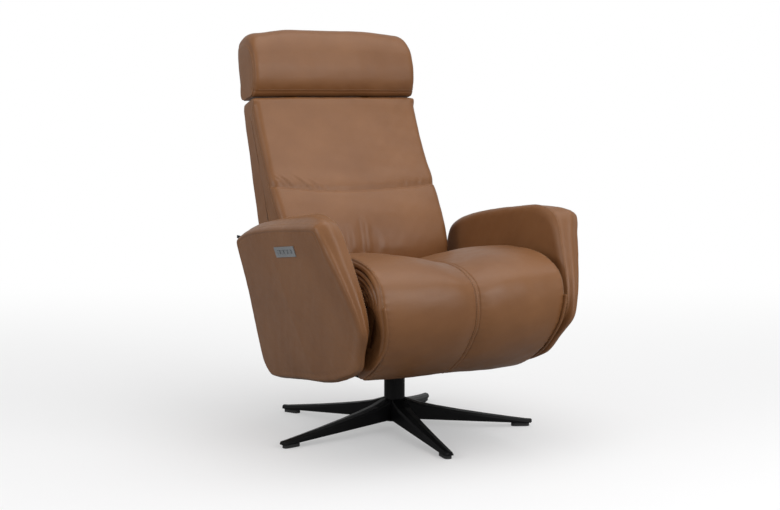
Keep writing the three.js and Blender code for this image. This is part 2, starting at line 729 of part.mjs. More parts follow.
// The part of the seat line between two tests, thinned to a count of points
function seatStretch(isIn, count) {
  const inside = seatLine.map((_, i) => i).filter((i) => isIn(seatLine[i]));
  const first = inside[0];
  const last = inside.at(-1);
  return Array.from({ length: count }, (_, i) =>
    Math.round(mix(first, last, i / (count - 1))),
  );
}

// A soft form under the seat line: its outer points sink with the seam and the sides
function seatForm(indices, inner, inwardAt = ([, normal]) => [-normal[0], -normal[1]]) {
  const rings = seatStations.map((x) => {
    const outer = indices.map((i) => {
      const [y, z] = seatLine[i];
      const [inY, inZ] = inwardAt([seatLine[i], seatNormals[i]]);
      const held = seatSink(x, i) * Math.min((SEAT_LINE_STEPS - 1 - i) / SEAT_END_FADE_STEPS, 1);
      return seatPoint([y + inY * held + seatBow(y, x), z + inZ * held], x);
    });
    const sink = seatSink(x, channelIsLow);
    return [...outer, ...inner(sink).map((place) => seatPoint(place, x))];
  });
  return loft(rings, sideView);
}

const deckTop = SIDE_BOARD_TOP + GAP + DECK;
const cushionFoot = deckTop + GAP;
const frontRailBottom = SIDE_BOARD_TOP + SIDE_BOARD_FRONT_RISE + GAP;
const frontRailTop = frontRailBottom + FRONT_RAIL_HEIGHT;
const frontRailFront = FRONT_RAIL_REAR - FRONT_RAIL_DEPTH;

function seatCushion() {
  const rearAt = (z) => SEAT_REAR_FOOT + SEAT_REAR_LEAN * (z - cushionFoot);
  const indices = seatStretch(([y, z]) => y > NOSE_FACE && y < rearAt(z) && z > NOSE_FOOT, CUSHION_POINTS);
  const step = frontRailTop + SOFT_GAP;
  const inner = () => [
    [NOSE_FACE, NOSE_FOOT],
    [frontRailFront, step + SEAT_EDGE_ROUND / 3],
    [frontRailFront + SEAT_EDGE_ROUND, step],
    [DECK_FRONT + GAP, step],
    [DECK_FRONT + SEAT_EDGE_ROUND, cushionFoot],
    [SEAT_REAR_FOOT, cushionFoot],
  ];
  return seatForm(indices, inner);
}
add("seat_cushion", seatCushion(), leather);

// The roll that bridges seat and leg rest; it folds when the leg rest swings out
function creaseRoll() {
  const face = NOSE_FACE - SOFT_GAP;
  const ledge = LEGREST_PAD_TOP + GAP;
  const indices = seatStretch(([y, z]) => y < face - SOFT_GAP && z > ledge, CREASE_ROLL_POINTS);
  const keep = HINGE_EYE_RADIUS + GAP;
  const inner = (sink) => {
    const shift = (sink * Math.SQRT1_2) / 2;
    return [
      [LEGREST_PIVOT_Y - keep + shift, ledge],
      [LEGREST_PIVOT_Y - keep + shift, LEGREST_PIVOT_Z + keep / 2 - shift],
      [LEGREST_PIVOT_Y - keep / 2 + shift, LEGREST_PIVOT_Z + keep - shift],
      [face - shift / 2, LEGREST_PIVOT_Z + keep - shift],
    ];
  };
  const towardsPivot = ([[y, z]]) => {
    const run = [LEGREST_PIVOT_Y - y, LEGREST_PIVOT_Z - z];
    return run.map((part) => part / Math.hypot(...run));
  };
  return seatForm(indices, inner, towardsPivot);
}
add("front_crease_roll", creaseRoll(), leather);

function legrestPad() {
  const indices = seatStretch(([, z]) => z < LEGREST_PAD_TOP, LEGREST_PAD_POINTS).filter(
    (i) => seatLine[i][1] < LEGREST_PAD_TOP,
  );
  const skin = -(LEGREST_BOARD / 2 + GAP);
  const end = LEGREST_BOARD_START + LEGREST_BOARD_LENGTH;
  const inner = () => [
    legrestPlace(end + OVERRUN, skin / 2),
    legrestPlace(end + SOFT_GAP, skin),
    legrestPlace(LEGREST_PAD_START, skin),
  ];
  return seatForm(indices, inner);
}
add("legrest_pad", legrestPad(), leather);

// Hinge of the leg rest: rods held by eyes on the front rail, and leaves on the board
const eyeHole = holeRadius(HINGE_ROD_RADIUS, RUNNING_CLEARANCE, ROD_SIDES);

function frontRail() {
  const end = FRAME_HALF_WIDTH + SIDE_BOARD;
  const rail = block(-end, end, frontRailFront, FRONT_RAIL_REAR, frontRailBottom, frontRailTop);
  const foot = [frontRailFront + HINGE_ARM_RADIUS, frontRailTop - HINGE_ARM_RADIUS];
  const pivot = [LEGREST_PIVOT_Y, LEGREST_PIVOT_Z];
  const eyes = [1, -1].flatMap((side) =>
    HINGE_STATIONS.flatMap((station) => {
      const ends = stations(side, station, HINGE_PLATE);
      return [
        sidePlate(barShape(pivot, foot, HINGE_ARM_RADIUS), ...ends),
        crossRod(HINGE_EYE_RADIUS, ...ends, ...pivot),
      ];
    }),
  );
  const bores = [1, -1].map((side) =>
    crossRod(
      eyeHole,
      Math.min(side * (HINGE_ROD_INNER - OVERRUN), side * (HINGE_ROD_OUTER + OVERRUN)),
      Math.max(side * (HINGE_ROD_INNER - OVERRUN), side * (HINGE_ROD_OUTER + OVERRUN)),
      LEGREST_PIVOT_Y, LEGREST_PIVOT_Z,
    ),
  );
  return cut(join(rail, ...eyes), ...bores);
}
add("front_rail", frontRail(), blackMetal);

for (const [side, name] of [[1, "left"], [-1, "right"]]) {
  const ends = [side * HINGE_ROD_INNER, side * HINGE_ROD_OUTER].sort((a, b) => a - b);
  add(
    `legrest_hinge_rod_${name}`,
    crossRod(HINGE_ROD_RADIUS, ...ends, LEGREST_PIVOT_Y, LEGREST_PIVOT_Z),
    zincSteel,
  );
}

// Leg rest board, with a steel leaf on each side that carries the hinge eyes and the drive lever
const leverEnd = legrestPlace(LEVER_ALONG, LEVER_OFF);
const driveOffset = [DRIVE_SHAFT_Y - LEGREST_PIVOT_Y, DRIVE_SHAFT_Z - LEGREST_PIVOT_Z];
const crankEnd = [leverEnd[0] + driveOffset[0], leverEnd[1] + driveOffset[1]];
const boardBack = LEGREST_BOARD / 2;

function boardOutline(start, end, front, back) {
  return outlineOf([
    legrestPlace(start, front), legrestPlace(end, front),
    legrestPlace(end, back), legrestPlace(start, back),
  ]);
}

function legrestBoard() {
  return sidePlate(
    boardOutline(
      LEGREST_BOARD_START, LEGREST_BOARD_START + LEGREST_BOARD_LENGTH, -boardBack, boardBack,
    ),
    -LEGREST_BOARD_HALF_WIDTH, LEGREST_BOARD_HALF_WIDTH,
  );
}

// One leaf: a strap on the back of the board, two hinge eyes beside the rail's, and the lever
function hingeLeaf(side) {
  const strapOff = boardBack + GAP;
  const strapStart = LEGREST_BOARD_START + STRAP_SET_DOWN;
  const strapEnd = strapStart + STRAP_WIDTH;
  const beside = HINGE_PLATE + GAP;
  const [near, far] = HINGE_STATIONS.map((station) => station + beside);
  const strap = sidePlate(
    boardOutline(strapStart, strapEnd, strapOff, strapOff + HINGE_PLATE),
    ...stations(side, near, far + HINGE_PLATE - near),
  );
  const armFoot = legrestPlace(strapStart + STRAP_WIDTH / 2, LEAF_ARM_OFF);
  const pivot = [LEGREST_PIVOT_Y, LEGREST_PIVOT_Z];
  const eyes = [near, far].flatMap((inner) => {
    const ends = stations(side, inner, HINGE_PLATE);
    return [
      sidePlate(barShape(pivot, armFoot, LEAF_ARM_RADIUS), ...ends),
      crossRod(LEAF_EYE_RADIUS, ...ends, ...pivot),
    ];
  });
  const lever = sidePlate(
    barShape(leverEnd, legrestPlace(strapEnd - LINK_HALF_HEIGHT, LEVER_OFF), LINK_HALF_HEIGHT),
    ...stations(side, LEVER_STATION, HINGE_PLATE),
  );
  const bore = crossRod(
    eyeHole, ...stations(side, HINGE_ROD_INNER, HINGE_ROD_OUTER), LEGREST_PIVOT_Y, LEGREST_PIVOT_Z,
  );
  return cut(join(strap, ...eyes, lever, linkPin(side, leverEnd)), bore);
}

// A pin that stands out of a lever or a crank, through the link beside it
function linkPin(side, place) {
  return crossRod(
    LINK_PIN_RADIUS,
    ...stations(side, LEVER_STATION + HINGE_PLATE / 2, HINGE_PLATE / 2 + GAP * 2 + LINK_PLATE),
    ...place,
  );
}
add("legrest_board", legrestBoard(), plywood);
add("legrest_leaf_left", hingeLeaf(1), blackMetal);
add("legrest_leaf_right", hingeLeaf(-1), blackMetal);

// Drive shaft with a crank at each side, and the links that keep the leg rest parallel to it
function driveShaft() {
  const end = FRAME_HALF_WIDTH + SIDE_BOARD;
  const shaft = crossRod(DRIVE_SHAFT_RADIUS, -end, end, DRIVE_SHAFT_Y, DRIVE_SHAFT_Z);
  const cranks = [1, -1].flatMap((side) => [
    sidePlate(
      barShape([DRIVE_SHAFT_Y, DRIVE_SHAFT_Z], crankEnd, LINK_HALF_HEIGHT),
      ...stations(side, LEVER_STATION, HINGE_PLATE),
    ),
    linkPin(side, crankEnd),
  ]);
  return join(shaft, ...cranks);
}
add("legrest_drive_shaft", driveShaft(), zincSteel);

const linkHole = (LINK_PIN_RADIUS + RUNNING_CLEARANCE) / Math.cos(Math.PI / LINK_SIDES);

function driveLink(side) {
  const ends = stations(side, LEVER_STATION + HINGE_PLATE + GAP, LINK_PLATE);
  return sidePlate(barShape(leverEnd, crankEnd, LINK_HALF_HEIGHT, linkHole, linkHole), ...ends);
}
add("legrest_link_left", driveLink(1), zincSteel);
add("legrest_link_right", driveLink(-1), zincSteel);

// Gearmotor that turns the drive shaft, hung under the seat deck
const shaftHole = holeRadius(DRIVE_SHAFT_RADIUS, RUNNING_CLEARANCE, ROD_SIDES);

function gearmotor() {
  const [width, depth, height] = GEARBOX_SIZE;
  const top = SIDE_BOARD_TOP;
  const middle = DRIVE_SHAFT_Y;
  const [left, right] = [GEARBOX_MIDDLE - width / 2, GEARBOX_MIDDLE + width / 2];
  const box = block(left, right, middle - depth / 2, middle + depth / 2, top - height, top);
  const motor = uprightRod(GEARBOX_MOTOR_RADIUS, 0, GEARBOX_MOTOR_LENGTH)
    .rotateX(Math.PI / 2)
    .translate(GEARBOX_MIDDLE, middle + depth / 2 + GEARBOX_MOTOR_LENGTH - GAP, top - height / 2);
  const bore = crossRod(shaftHole, left - OVERRUN, right + OVERRUN, DRIVE_SHAFT_Y, DRIVE_SHAFT_Z);
  return cut(join(box, motor), bore);
}
add("legrest_gearmotor", gearmotor(), blackPlastic);

// Side boards: they carry the deck, the drive shaft, the arms and the recline pivots
function sideBoard(side) {
  const inner = FRAME_HALF_WIDTH;
  const ends = side > 0 ? [inner, inner + SIDE_BOARD] : [-inner - SIDE_BOARD, -inner];
  const clear = boardBack + GAP + HINGE_PLATE + SOFT_GAP * 2;
  const frontTop = SIDE_BOARD_TOP + SIDE_BOARD_FRONT_RISE;
  const boardFoot = COVER_RIM_TOP + GAP;
  const alongAt = (z) => (LEGREST_PIVOT_Z + clear * Math.cos(slope) - z) / Math.sin(slope);
  const shape = new THREE.Shape();
  shape.moveTo(...legrestPlace(alongAt(boardFoot), clear));
  shape.lineTo(REAR_PANEL_FRONT + REAR_PANEL, boardFoot);
  shape.lineTo(REAR_PANEL_FRONT + REAR_PANEL, REAR_PANEL_TOP);
  shape.lineTo(...backPlace(SKIRT_FOOT, BOARD_EYE_RADIUS, fullLean));
  shape.absarc(
    RECLINE_PIVOT_Y, RECLINE_PIVOT_Z, BOARD_EYE_RADIUS, -fullLean, Math.PI / 2, false,
  );
  shape.lineTo(RECLINE_PIVOT_Y - BOARD_EYE_RADIUS, SIDE_BOARD_REAR_TOP - BOARD_EYE_RADIUS / 3);
  shape.lineTo(DECK_REAR + OVERRUN + BOARD_EYE_RADIUS, SIDE_BOARD_TOP);
  shape.lineTo(DECK_FRONT, SIDE_BOARD_TOP);
  shape.lineTo(DECK_FRONT, frontTop);
  shape.lineTo(...legrestPlace(alongAt(frontTop), clear));
  const board = sidePlate(shape, ...ends);
  const through = [ends[0] - OVERRUN, ends[1] + OVERRUN];
  const holes = [
    crossRod(shaftHole, ...through, DRIVE_SHAFT_Y, DRIVE_SHAFT_Z),
    crossRod(
      holeRadius(RECLINE_PIN_RADIUS, RUNNING_CLEARANCE, ROD_SIDES), ...through,
      RECLINE_PIVOT_Y, RECLINE_PIVOT_Z,
    ),
    ...armBoltPlaces.map(([y, z]) => crossRod(armBoltHole, ...through, y, z)),
  ];
  return cut(board, ...holes);
}

const armBoltHole = holeRadius(ARM_BOLT_RADIUS, GAP, ROD_SIDES);
const armBoltHeight = (ARM_BLOCK_BOTTOM + ARM_BLOCK_TOP) / 2;
const armBoltPlaces = [
  [ARM_BLOCK_FRONT + ARM_BOLT_SET_IN, armBoltHeight],
  [ARM_BLOCK_REAR - ARM_BOLT_SET_IN, armBoltHeight],
];
add("side_board_left", sideBoard(1), plywood);
add("side_board_right", sideBoard(-1), plywood);

// Deck under the seat cushion, the panel behind the frame and the cover below it
function seatDeck() {
  const half = FRAME_HALF_WIDTH + SIDE_BOARD;
  const deck = block(-half, half, DECK_FRONT + GAP, DECK_REAR, SIDE_BOARD_TOP + GAP, deckTop);
  const slots = [1, -1].map((side) => {
    const inner = LEVER_STATION + HINGE_PLATE - SLOT_CLEARANCE;
    const ends = stations(side, inner, LINK_PLATE + 2 * SLOT_CLEARANCE);
    const bottom = SIDE_BOARD_TOP - OVERRUN;
    return block(...ends, DECK_FRONT - OVERRUN, DECK_FRONT + DECK_SLOT, bottom, deckTop + OVERRUN);
  });
  return cut(deck, ...slots);
}
add("seat_deck", seatDeck(), plywood);
add(
  "rear_panel",
  block(
    -FRAME_HALF_WIDTH + GAP, FRAME_HALF_WIDTH - GAP,
    REAR_PANEL_FRONT, REAR_PANEL_FRONT + REAR_PANEL, COVER_RIM_TOP + GAP, REAR_PANEL_TOP,
  ),
  leather,
);

function underseatCover() {
  const half = COVER_HALF_WIDTH;
  const wall = COVER_WALL;
  const low = COVER_BOTTOM;
  const outer = block(-half, half, COVER_FRONT, COVER_REAR, low, COVER_RIM_TOP);
  const inside = block(
    wall - half, half - wall, COVER_FRONT + wall, COVER_REAR - wall,
    low + wall, COVER_RIM_TOP + OVERRUN,
  );
  const hole = uprightRod(COVER_HOLE_RADIUS, low - OVERRUN, low + OVERRUN, 0, 0, COLUMN_SIDES);
  return cut(outer, inside, hole);
}
add("underseat_cover", underseatCover(), darkCloth);

// Arms: upholstered slabs that lean outwards and rise towards their inner edge
const armTop = ARM_FOOT + ARM_HEIGHT;
const armInnerAt = (z) => {
  const above = z - ARM_INNER_KNEE_HEIGHT;
  return ARM_INNER_KNEE_WIDTH + above * (above > 0 ? ARM_INNER_UPPER_LEAN : ARM_INNER_LOWER_LEAN);
};
const armTopHalfWidth = armInnerAt(armTop) + ARM_TOP_THICKNESS;
const armOuterAt = (z) => armTopHalfWidth - ARM_OUTER_LEAN * (armTop - z);
const armLine = smoothLine(
  [...ARM_LINE_SHARES, ARM_LINE_SHARES[0]].map(([back, up]) => [
    ARM_REAR - back * ARM_LENGTH, ARM_FOOT + up * ARM_HEIGHT,
  ]),
  ARM_LINE_POINTS,
).slice(0, -1);
const armMiddle = [
  sum(armLine.map(([y]) => y)) / armLine.length,
  sum(armLine.map(([, z]) => z)) / armLine.length,
];

// One ring of the arm: through runs from the outer face to the inner one, inset rounds the edge
function armRing(through, inset, proud) {
  return armLine.map(([y, z], i) => {
    const before = armLine[(i + armLine.length - 1) % armLine.length];
    const after = armLine[(i + 1) % armLine.length];
    const run = [after[0] - before[0], after[1] - before[1]];
    const length = Math.hypot(...run);
    const inY = y - (run[1] / length) * inset;
    const inZ = z + (run[0] / length) * inset;
    return armSkin([inY, inZ], through, proud);
  });
}

function armSkin([y, z], through, proud) {
  const topShare = Math.max((z - ARM_INNER_KNEE_HEIGHT) / (armTop - ARM_INNER_KNEE_HEIGHT), 0);
  const arch = THREE.MathUtils.smoothstep(y, ARM_RISE_END_Y, ARM_RISE_FULL_Y);
  const lifted = z + ARM_INNER_RISE * arch * through * topShare ** 2;
  const x = mix(armOuterAt(z) + proud, armInnerAt(lifted) - proud, through);
  return at(x, y, lifted);
}

// Where the rear edge of the arm stands at a height
function armRearAt(height) {
  const through = (ZIP_PULL_STATION + ZIP_PULL / 2) / ARM_TOP_THICKNESS;
  const next = ARM_ROUNDING_SHARES.findIndex(([share]) => share >= through);
  const [[from, inset], [to, nextInset]] = ARM_ROUNDING_SHARES.slice(next - 1, next + 1);
  const rounding = mix(inset, nextInset, (through - from) / (to - from)) * ARM_EDGE_ROUND;
  const ring = armRing(through, rounding, 0);
  const rear = ring.filter((p) => p.y > armMiddle[0]);
  const i = rear.findIndex((p, k) => k > 0 && (rear[k - 1].z - height) * (p.z - height) <= 0);
  const [low, high] = [rear[i - 1], rear[i]];
  return mix(low.y, high.y, (height - low.z) / (high.z - low.z));
}

function armPanelRing(through, share) {
  return armLine.map((place) => {
    const y = mix(armMiddle[0], place[0], share);
    const z = mix(armMiddle[1], place[1], share);
    return armSkin([y, z], through, through > 0 ? 0 : ARM_PANEL_CROWN * (1 - share ** 2));
  });
}

function armSlab() {
  const rings = [
    ...ARM_OUTER_PANEL_SHARES.map((share) => armPanelRing(0, share)),
    ...ARM_ROUNDING_SHARES.map(([through, inset]) =>
      armRing(through, inset * ARM_EDGE_ROUND, through > 0 ? 0 : ARM_PANEL_CROWN / 4),
    ),
    ...ARM_INNER_PANEL_SHARES.map((share) => armPanelRing(1, share)),
  ];
  return loft(rings, sideView);
}

const panelTurn = radians(PANEL_RISE_DEG);
const outerLean = Math.atan(ARM_OUTER_LEAN);
const panelMiddleZ = armTop - PANEL_SET_DOWN;
const panelFaceX = armOuterAt(panelMiddleZ) + ARM_PANEL_CROWN * PANEL_CROWN_SHARE;

// Places a piece drawn flat (length along X, height along Y, outwards +Z) on the right arm
function ontoRightArm(geometry) {
  const forward = at(0, -Math.cos(panelTurn), Math.sin(panelTurn));
  const outward = at(-Math.cos(outerLean), 0, -Math.sin(outerLean));
  const up = new THREE.Vector3().crossVectors(outward, forward);
  const frame = new THREE.Matrix4().makeBasis(forward, up, outward);
  frame.setPosition(-panelFaceX, PANEL_MIDDLE_Y, panelMiddleZ);
  return geometry.applyMatrix4(frame);
}

function armBoltHoles() {
  return armBoltPlaces.map(([y, z]) =>
    crossRod(armBoltHole, 0, armInnerAt(z) + ARM_BOLT_BITE + OVERRUN, y, z),
  );
}

const panelPocket = () =>
  ontoRightArm(
    new THREE.BoxGeometry(
      PANEL_LENGTH + 2 * GAP, PANEL_HEIGHT + 2 * GAP, PANEL_THICKNESS * 2,
    ).translate(0, 0, PANEL_PROUD - GAP),
  );

const mirrored = (geometry) => geometryOf(solidOf(geometry).mirror([1, 0, 0]));
const armWithHoles = cut(armSlab(), ...armBoltHoles());
add("arm_left", armWithHoles, leather);
add("arm_right", cut(mirrored(armWithHoles), panelPocket()), leather);

// Hardwood blocks between the frame and the leaning inner face of each arm, and their bolts
function armBlock() {
  const inner = FRAME_HALF_WIDTH + SIDE_BOARD + GAP;
  const corners = [
    [inner, ARM_BLOCK_BOTTOM], [armInnerAt(ARM_BLOCK_BOTTOM) - GAP, ARM_BLOCK_BOTTOM],
    [armInnerAt(ARM_BLOCK_TOP) - GAP, ARM_BLOCK_TOP], [inner, ARM_BLOCK_TOP],
  ].map(([x, z]) => new THREE.Vector2(x, z));
  const along = new THREE.Matrix4().makeBasis(at(1, 0, 0), at(0, 0, 1), at(0, -1, 0));
  const solid = new THREE.ExtrudeGeometry(new THREE.Shape(corners), {
    depth: ARM_BLOCK_REAR - ARM_BLOCK_FRONT, bevelEnabled: false,
  }).applyMatrix4(along).translate(0, ARM_BLOCK_REAR, 0);
  const holes = armBoltPlaces.map(([y, z]) =>
    crossRod(armBoltHole, inner - OVERRUN, armTopHalfWidth, y, z),
  );
  return cut(solid, ...holes);
}

function armBolt([y, z], side) {
  const headEnd = FRAME_HALF_WIDTH - GAP;
  const tip = armInnerAt(z) + ARM_BOLT_BITE;
  const bolt = join(
    crossRod(ARM_BOLT_RADIUS, headEnd - ARM_BOLT_HEAD / 2, tip, y, z),
    crossRod(ARM_BOLT_HEAD_RADIUS, headEnd - ARM_BOLT_HEAD, headEnd, y, z, HEXAGON_SIDES),
  );
  return side > 0 ? bolt : mirrored(bolt);
}

for (const [side, name] of [[1, "left"], [-1, "right"]]) {
  add(`arm_block_${name}`, side > 0 ? armBlock() : mirrored(armBlock()), plywood);
  armBoltPlaces.forEach((place, i) =>
    add(`arm_bolt_${name}_${["front", "rear"][i]}`, armBolt(place, side), zincSteel),
  );
}

// Control panel in its pocket, with keys that press in
const keyPlaces = Array.from(
  { length: KEY_COUNT },
  (_, i) => (i - (KEY_COUNT - 1) / 2) * KEY_PITCH,
);

function controlPanel() {
  const plate = new THREE.BoxGeometry(PANEL_LENGTH, PANEL_HEIGHT, PANEL_THICKNESS).translate(
    0, 0, PANEL_PROUD - PANEL_THICKNESS / 2,
  );
  const depth = KEY_DEPTH + KEY_TRAVEL + GAP;
  const wells = keyPlaces.map((x) =>
    new THREE.BoxGeometry(KEY_LENGTH + 2 * GAP, KEY_HEIGHT + 2 * GAP, depth + OVERRUN).translate(
      x, 0, PANEL_PROUD - depth + (depth + OVERRUN) / 2,
    ),
  );
  return ontoRightArm(cut(plate, ...wells));
}

function panelKey(x) {
  return ontoRightArm(
    new THREE.BoxGeometry(KEY_LENGTH, KEY_HEIGHT, KEY_DEPTH + KEY_PROUD).translate(
      x, 0, PANEL_PROUD + KEY_PROUD - (KEY_DEPTH + KEY_PROUD) / 2,
    ),
  );
}
add("control_panel", controlPanel(), silverPanel);
keyPlaces.forEach((x, i) => add(`panel_key_${i + 1}`, panelKey(x), blackPlastic));

// Zip pull of the arm's cover, at the rear top corner of the right arm
function zipPull() {
  const middle = ARM_FOOT + ARM_HEIGHT * ZIP_PULL_UP_SHARE;
  const x = ZIP_PULL_STATION - armOuterAt(middle);
  const [low, high] = [middle - ZIP_PULL_HEIGHT / 2, middle + ZIP_PULL_HEIGHT / 2];
  const start = Math.max(armRearAt(low), armRearAt(high)) + GAP;
  return block(
    x - ZIP_PULL / 2, x + ZIP_PULL / 2, start, start + ZIP_PULL_LENGTH, low, high,
  );
}
add("zip_pull", zipPull(), blackMetal);

// Power supply on the rear cross rail
function powerBox() {
  const [width, depth, height] = POWER_BOX_SIZE;
  const shape = new THREE.Shape();
  const edge = POWER_BOX_EDGE;
  shape.moveTo(edge, 0);
  shape.lineTo(width - edge, 0);
  shape.lineTo(width, edge);
  shape.lineTo(width, depth - edge);
  shape.lineTo(width - edge, depth);
  shape.lineTo(edge, depth);
  shape.lineTo(0, depth - edge);
  shape.lineTo(0, edge);
  return new THREE.ExtrudeGeometry(shape, { depth: height, bevelEnabled: false }).translate(
    FRAME_HALF_WIDTH - width - OVERRUN * 3, -depth / 2 + CROSS_RAIL_SPREAD / 2, railTop + GAP,
  );
}
add("power_box", powerBox(), blackPlastic);

// Back: the cushion in front of the frame and the shell around it part at the frame's front face
const splitFront = -BACK_FRAME_THICKNESS / 2 - GAP;
const splitRear = BACK_FRAME_THICKNESS / 2 + GAP;
const backFront = smoothLine(
  BACK_FRONT_SHARES.map(([up, depth]) => [
    mix(BACK_FOOT, BACK_LENGTH, up), -depth * BACK_DEPTH,
  ]),
  BACK_LINE_POINTS,
);

function backStations(halfWidth, round) {
  const flat = halfWidth - round;
  const half = BACK_STATION_SHARES.map((share) => share * flat);
  const edge = BACK_EDGE_STATION_SHARES.map((share) => flat + round * share);
  const all = [...half, ...edge];
  return [...all.slice(1).reverse().map((x) => -x), ...all];
}

function backCushion() {
  const seam = mix(BACK_FOOT, BACK_LENGTH, BACK_SEAM_SHARE);
  const rings = backStations(BACK_HALF_WIDTH, BACK_EDGE_ROUND).map((x) => {
    const sink = edgeSink(x, BACK_HALF_WIDTH, BACK_EDGE_ROUND);
    const crown = BACK_CROWN * (1 - (x / BACK_HALF_WIDTH) ** 2);
    const front = backFront.map(([along, off]) => {
      const channel = BACK_SEAM_SINK * Math.exp(-(((along - seam) / BACK_SEAM_HALF_WIDTH) ** 2));
      const ends = Math.min(along - BACK_FOOT, BACK_LENGTH - along) / BACK_EDGE_ROUND;
      const fallen = 1 - Math.sqrt(1 - (1 - Math.min(ends, 1)) ** 2);
      const endSink = BACK_EDGE_ROUND * BACK_END_SINK_SHARE * fallen;
      return [along, Math.min(off + sink + channel + endSink - crown, splitFront - GAP)];
    });
    const rear = [[BACK_LENGTH, splitFront], [BACK_FOOT, splitFront]];
    return [...front, ...rear].map(([along, off]) => at(x, ...backPlace(along, off)));
  });
  return loft(rings, sideView);
}
add("back_cushion", backCushion(), leather);

// Rear shell: a tray that closes over the frame, with a skirt behind the recline pivots
function backShell() {
  const round = BACK_EDGE_ROUND;
  const rings = backStations(BACK_HALF_WIDTH, round).map((x) => {
    const sink = edgeSink(x, BACK_HALF_WIDTH, round);
    const crown = (BACK_CROWN / 2) * (1 - (x / BACK_HALF_WIDTH) ** 2);
    const rear = BACK_REAR + crown - sink;
    const places = [
      [BACK_FOOT, splitFront + GAP], [BACK_LENGTH, splitFront + GAP],
      [BACK_LENGTH, rear - round / 2], [BACK_LENGTH - round / 2, rear],
      [BACK_LENGTH / 2, rear + crown / 2], [BACK_FOOT, rear],
    ];
    return places.map(([along, off]) => at(x, ...backPlace(along, off)));
  });
  const hollowHalf = BACK_FRAME_HALF_WIDTH + SOFT_GAP * 2;
  const hollow = sidePlate(
    outlineOf([
      backPlace(BACK_FOOT - OVERRUN, splitFront - OVERRUN),
      backPlace(backFrameTop + SOFT_GAP * 2, splitFront - OVERRUN),
      backPlace(backFrameTop + SOFT_GAP * 2, splitRear),
      backPlace(BACK_FOOT - OVERRUN, splitRear),
    ]),
    -hollowHalf, hollowHalf,
  );
  const skirt = sidePlate(
    outlineOf([
      backPlace(SKIRT_FOOT, SKIRT_FRONT), backPlace(BACK_FOOT + OVERRUN, SKIRT_FRONT),
      backPlace(BACK_FOOT + OVERRUN, BACK_REAR), backPlace(SKIRT_FOOT, BACK_REAR),
    ]),
    -SKIRT_HALF_WIDTH, SKIRT_HALF_WIDTH,
  );
  const slots = [1, -1].map((side) => {
    const middle = side * HEADREST_BRACKET_STATION;
    const half = HEADREST_BRACKET / 2 + SOFT_GAP;
    return sidePlate(
      outlineOf([
        backPlace(backFrameTop - OVERRUN, splitFront - OVERRUN),
        backPlace(BACK_LENGTH + OVERRUN, splitFront - OVERRUN),
        backPlace(BACK_LENGTH + OVERRUN, splitRear + OVERRUN),
        backPlace(backFrameTop - OVERRUN, splitRear + OVERRUN),
      ]),
      middle - half, middle + half,
    );
  });
  return cut(join(loft(rings, sideView), skirt), hollow, ...slots);
}
add("back_shell", backShell(), leather);

// Back frame: side bars on the recline pins, cross bars, the actuator's lever and the headrest arms
const leverPinHalf = BACK_LEVER_SPREAD / 2;

function backFrame() {
  const half = BACK_FRAME_THICKNESS / 2;
  const flatBar = (start, end, x0, x1) =>
    sidePlate(
      outlineOf([
        backPlace(start, -half), backPlace(end, -half), backPlace(end, half), backPlace(start, half),
      ]),
      x0, x1,
    );
  const inner = BACK_FRAME_HALF_WIDTH - BACK_FRAME_BAR;
  const sideBars = [1, -1].map((side) => {
    const ends = [side * inner, side * BACK_FRAME_HALF_WIDTH].sort((a, b) => a - b);
    return flatBar(0, backFrameTop, ...ends);
  });
  const crossBars = [
    [backFrameTop - BACK_FRAME_BAR, backFrameTop],
    [backFrameTop / 2, backFrameTop / 2 + BACK_FRAME_BAR],
  ].map(([start, end]) => flatBar(start, end, -inner - GAP, inner + GAP));
  const pinEnd = FRAME_HALF_WIDTH + SIDE_BOARD;
  const shaft = crossRod(RECLINE_PIN_RADIUS, -pinEnd, pinEnd, RECLINE_PIVOT_Y, RECLINE_PIVOT_Z);
  const levers = [leverPinHalf, -leverPinHalf - HINGE_PLATE].map((x) =>
    sidePlate(
      barShape([RECLINE_PIVOT_Y, RECLINE_PIVOT_Z], [BACK_LEVER_Y, BACK_LEVER_Z], BACK_LEVER_RADIUS),
      x, x + HINGE_PLATE,
    ),
  );
  const leverPin = crossRod(
    LINK_PIN_RADIUS, -leverPinHalf - HINGE_PLATE / 2, leverPinHalf + HINGE_PLATE / 2,
    BACK_LEVER_Y, BACK_LEVER_Z,
  );
  return join(...sideBars, ...crossBars, shaft, ...levers, leverPin, ...headrestArms());
}

const headrestElbow = [
  headrestPivot[0] + HEADREST_ELBOW_BACK, headrestPivot[1] - HEADREST_ELBOW_DROP,
];

function headrestArms() {
  const reach = HEADREST_BRACKET_RADIUS * HEADREST_ARM_SHARE;
  return [1, -1].flatMap((side) => {
    const middle = side * HEADREST_BRACKET_STATION;
    const ends = [middle - HEADREST_BRACKET / 2, middle + HEADREST_BRACKET / 2];
    const foot = backPlace(backFrameTop - BACK_FRAME_BAR / 2, 0);
    const hole = holeRadius(HEADREST_ROD_RADIUS, RUNNING_CLEARANCE, LINK_SIDES);
    return [
      sidePlate(barShape(headrestPivot, headrestElbow, HEADREST_BRACKET_RADIUS, hole, 0), ...ends),
      sidePlate(barShape(headrestElbow, foot, reach), ...ends),
    ];
  });
}
add("back_frame", backFrame(), blackMetal);

// Linear actuator between the front cross rail and the back's lever
const actuatorStart = [BACK_MOTOR_Y, BACK_MOTOR_Z];
const actuatorEnd = [BACK_LEVER_Y, BACK_LEVER_Z];
const actuatorReach = Math.hypot(
  actuatorEnd[0] - actuatorStart[0], actuatorEnd[1] - actuatorStart[1],
);
const actuatorTurn = Math.atan2(
  actuatorEnd[1] - actuatorStart[1], actuatorEnd[0] - actuatorStart[0],
);
const alongActuator = (geometry) =>
  geometry.rotateX(actuatorTurn).translate(0, ...actuatorStart);

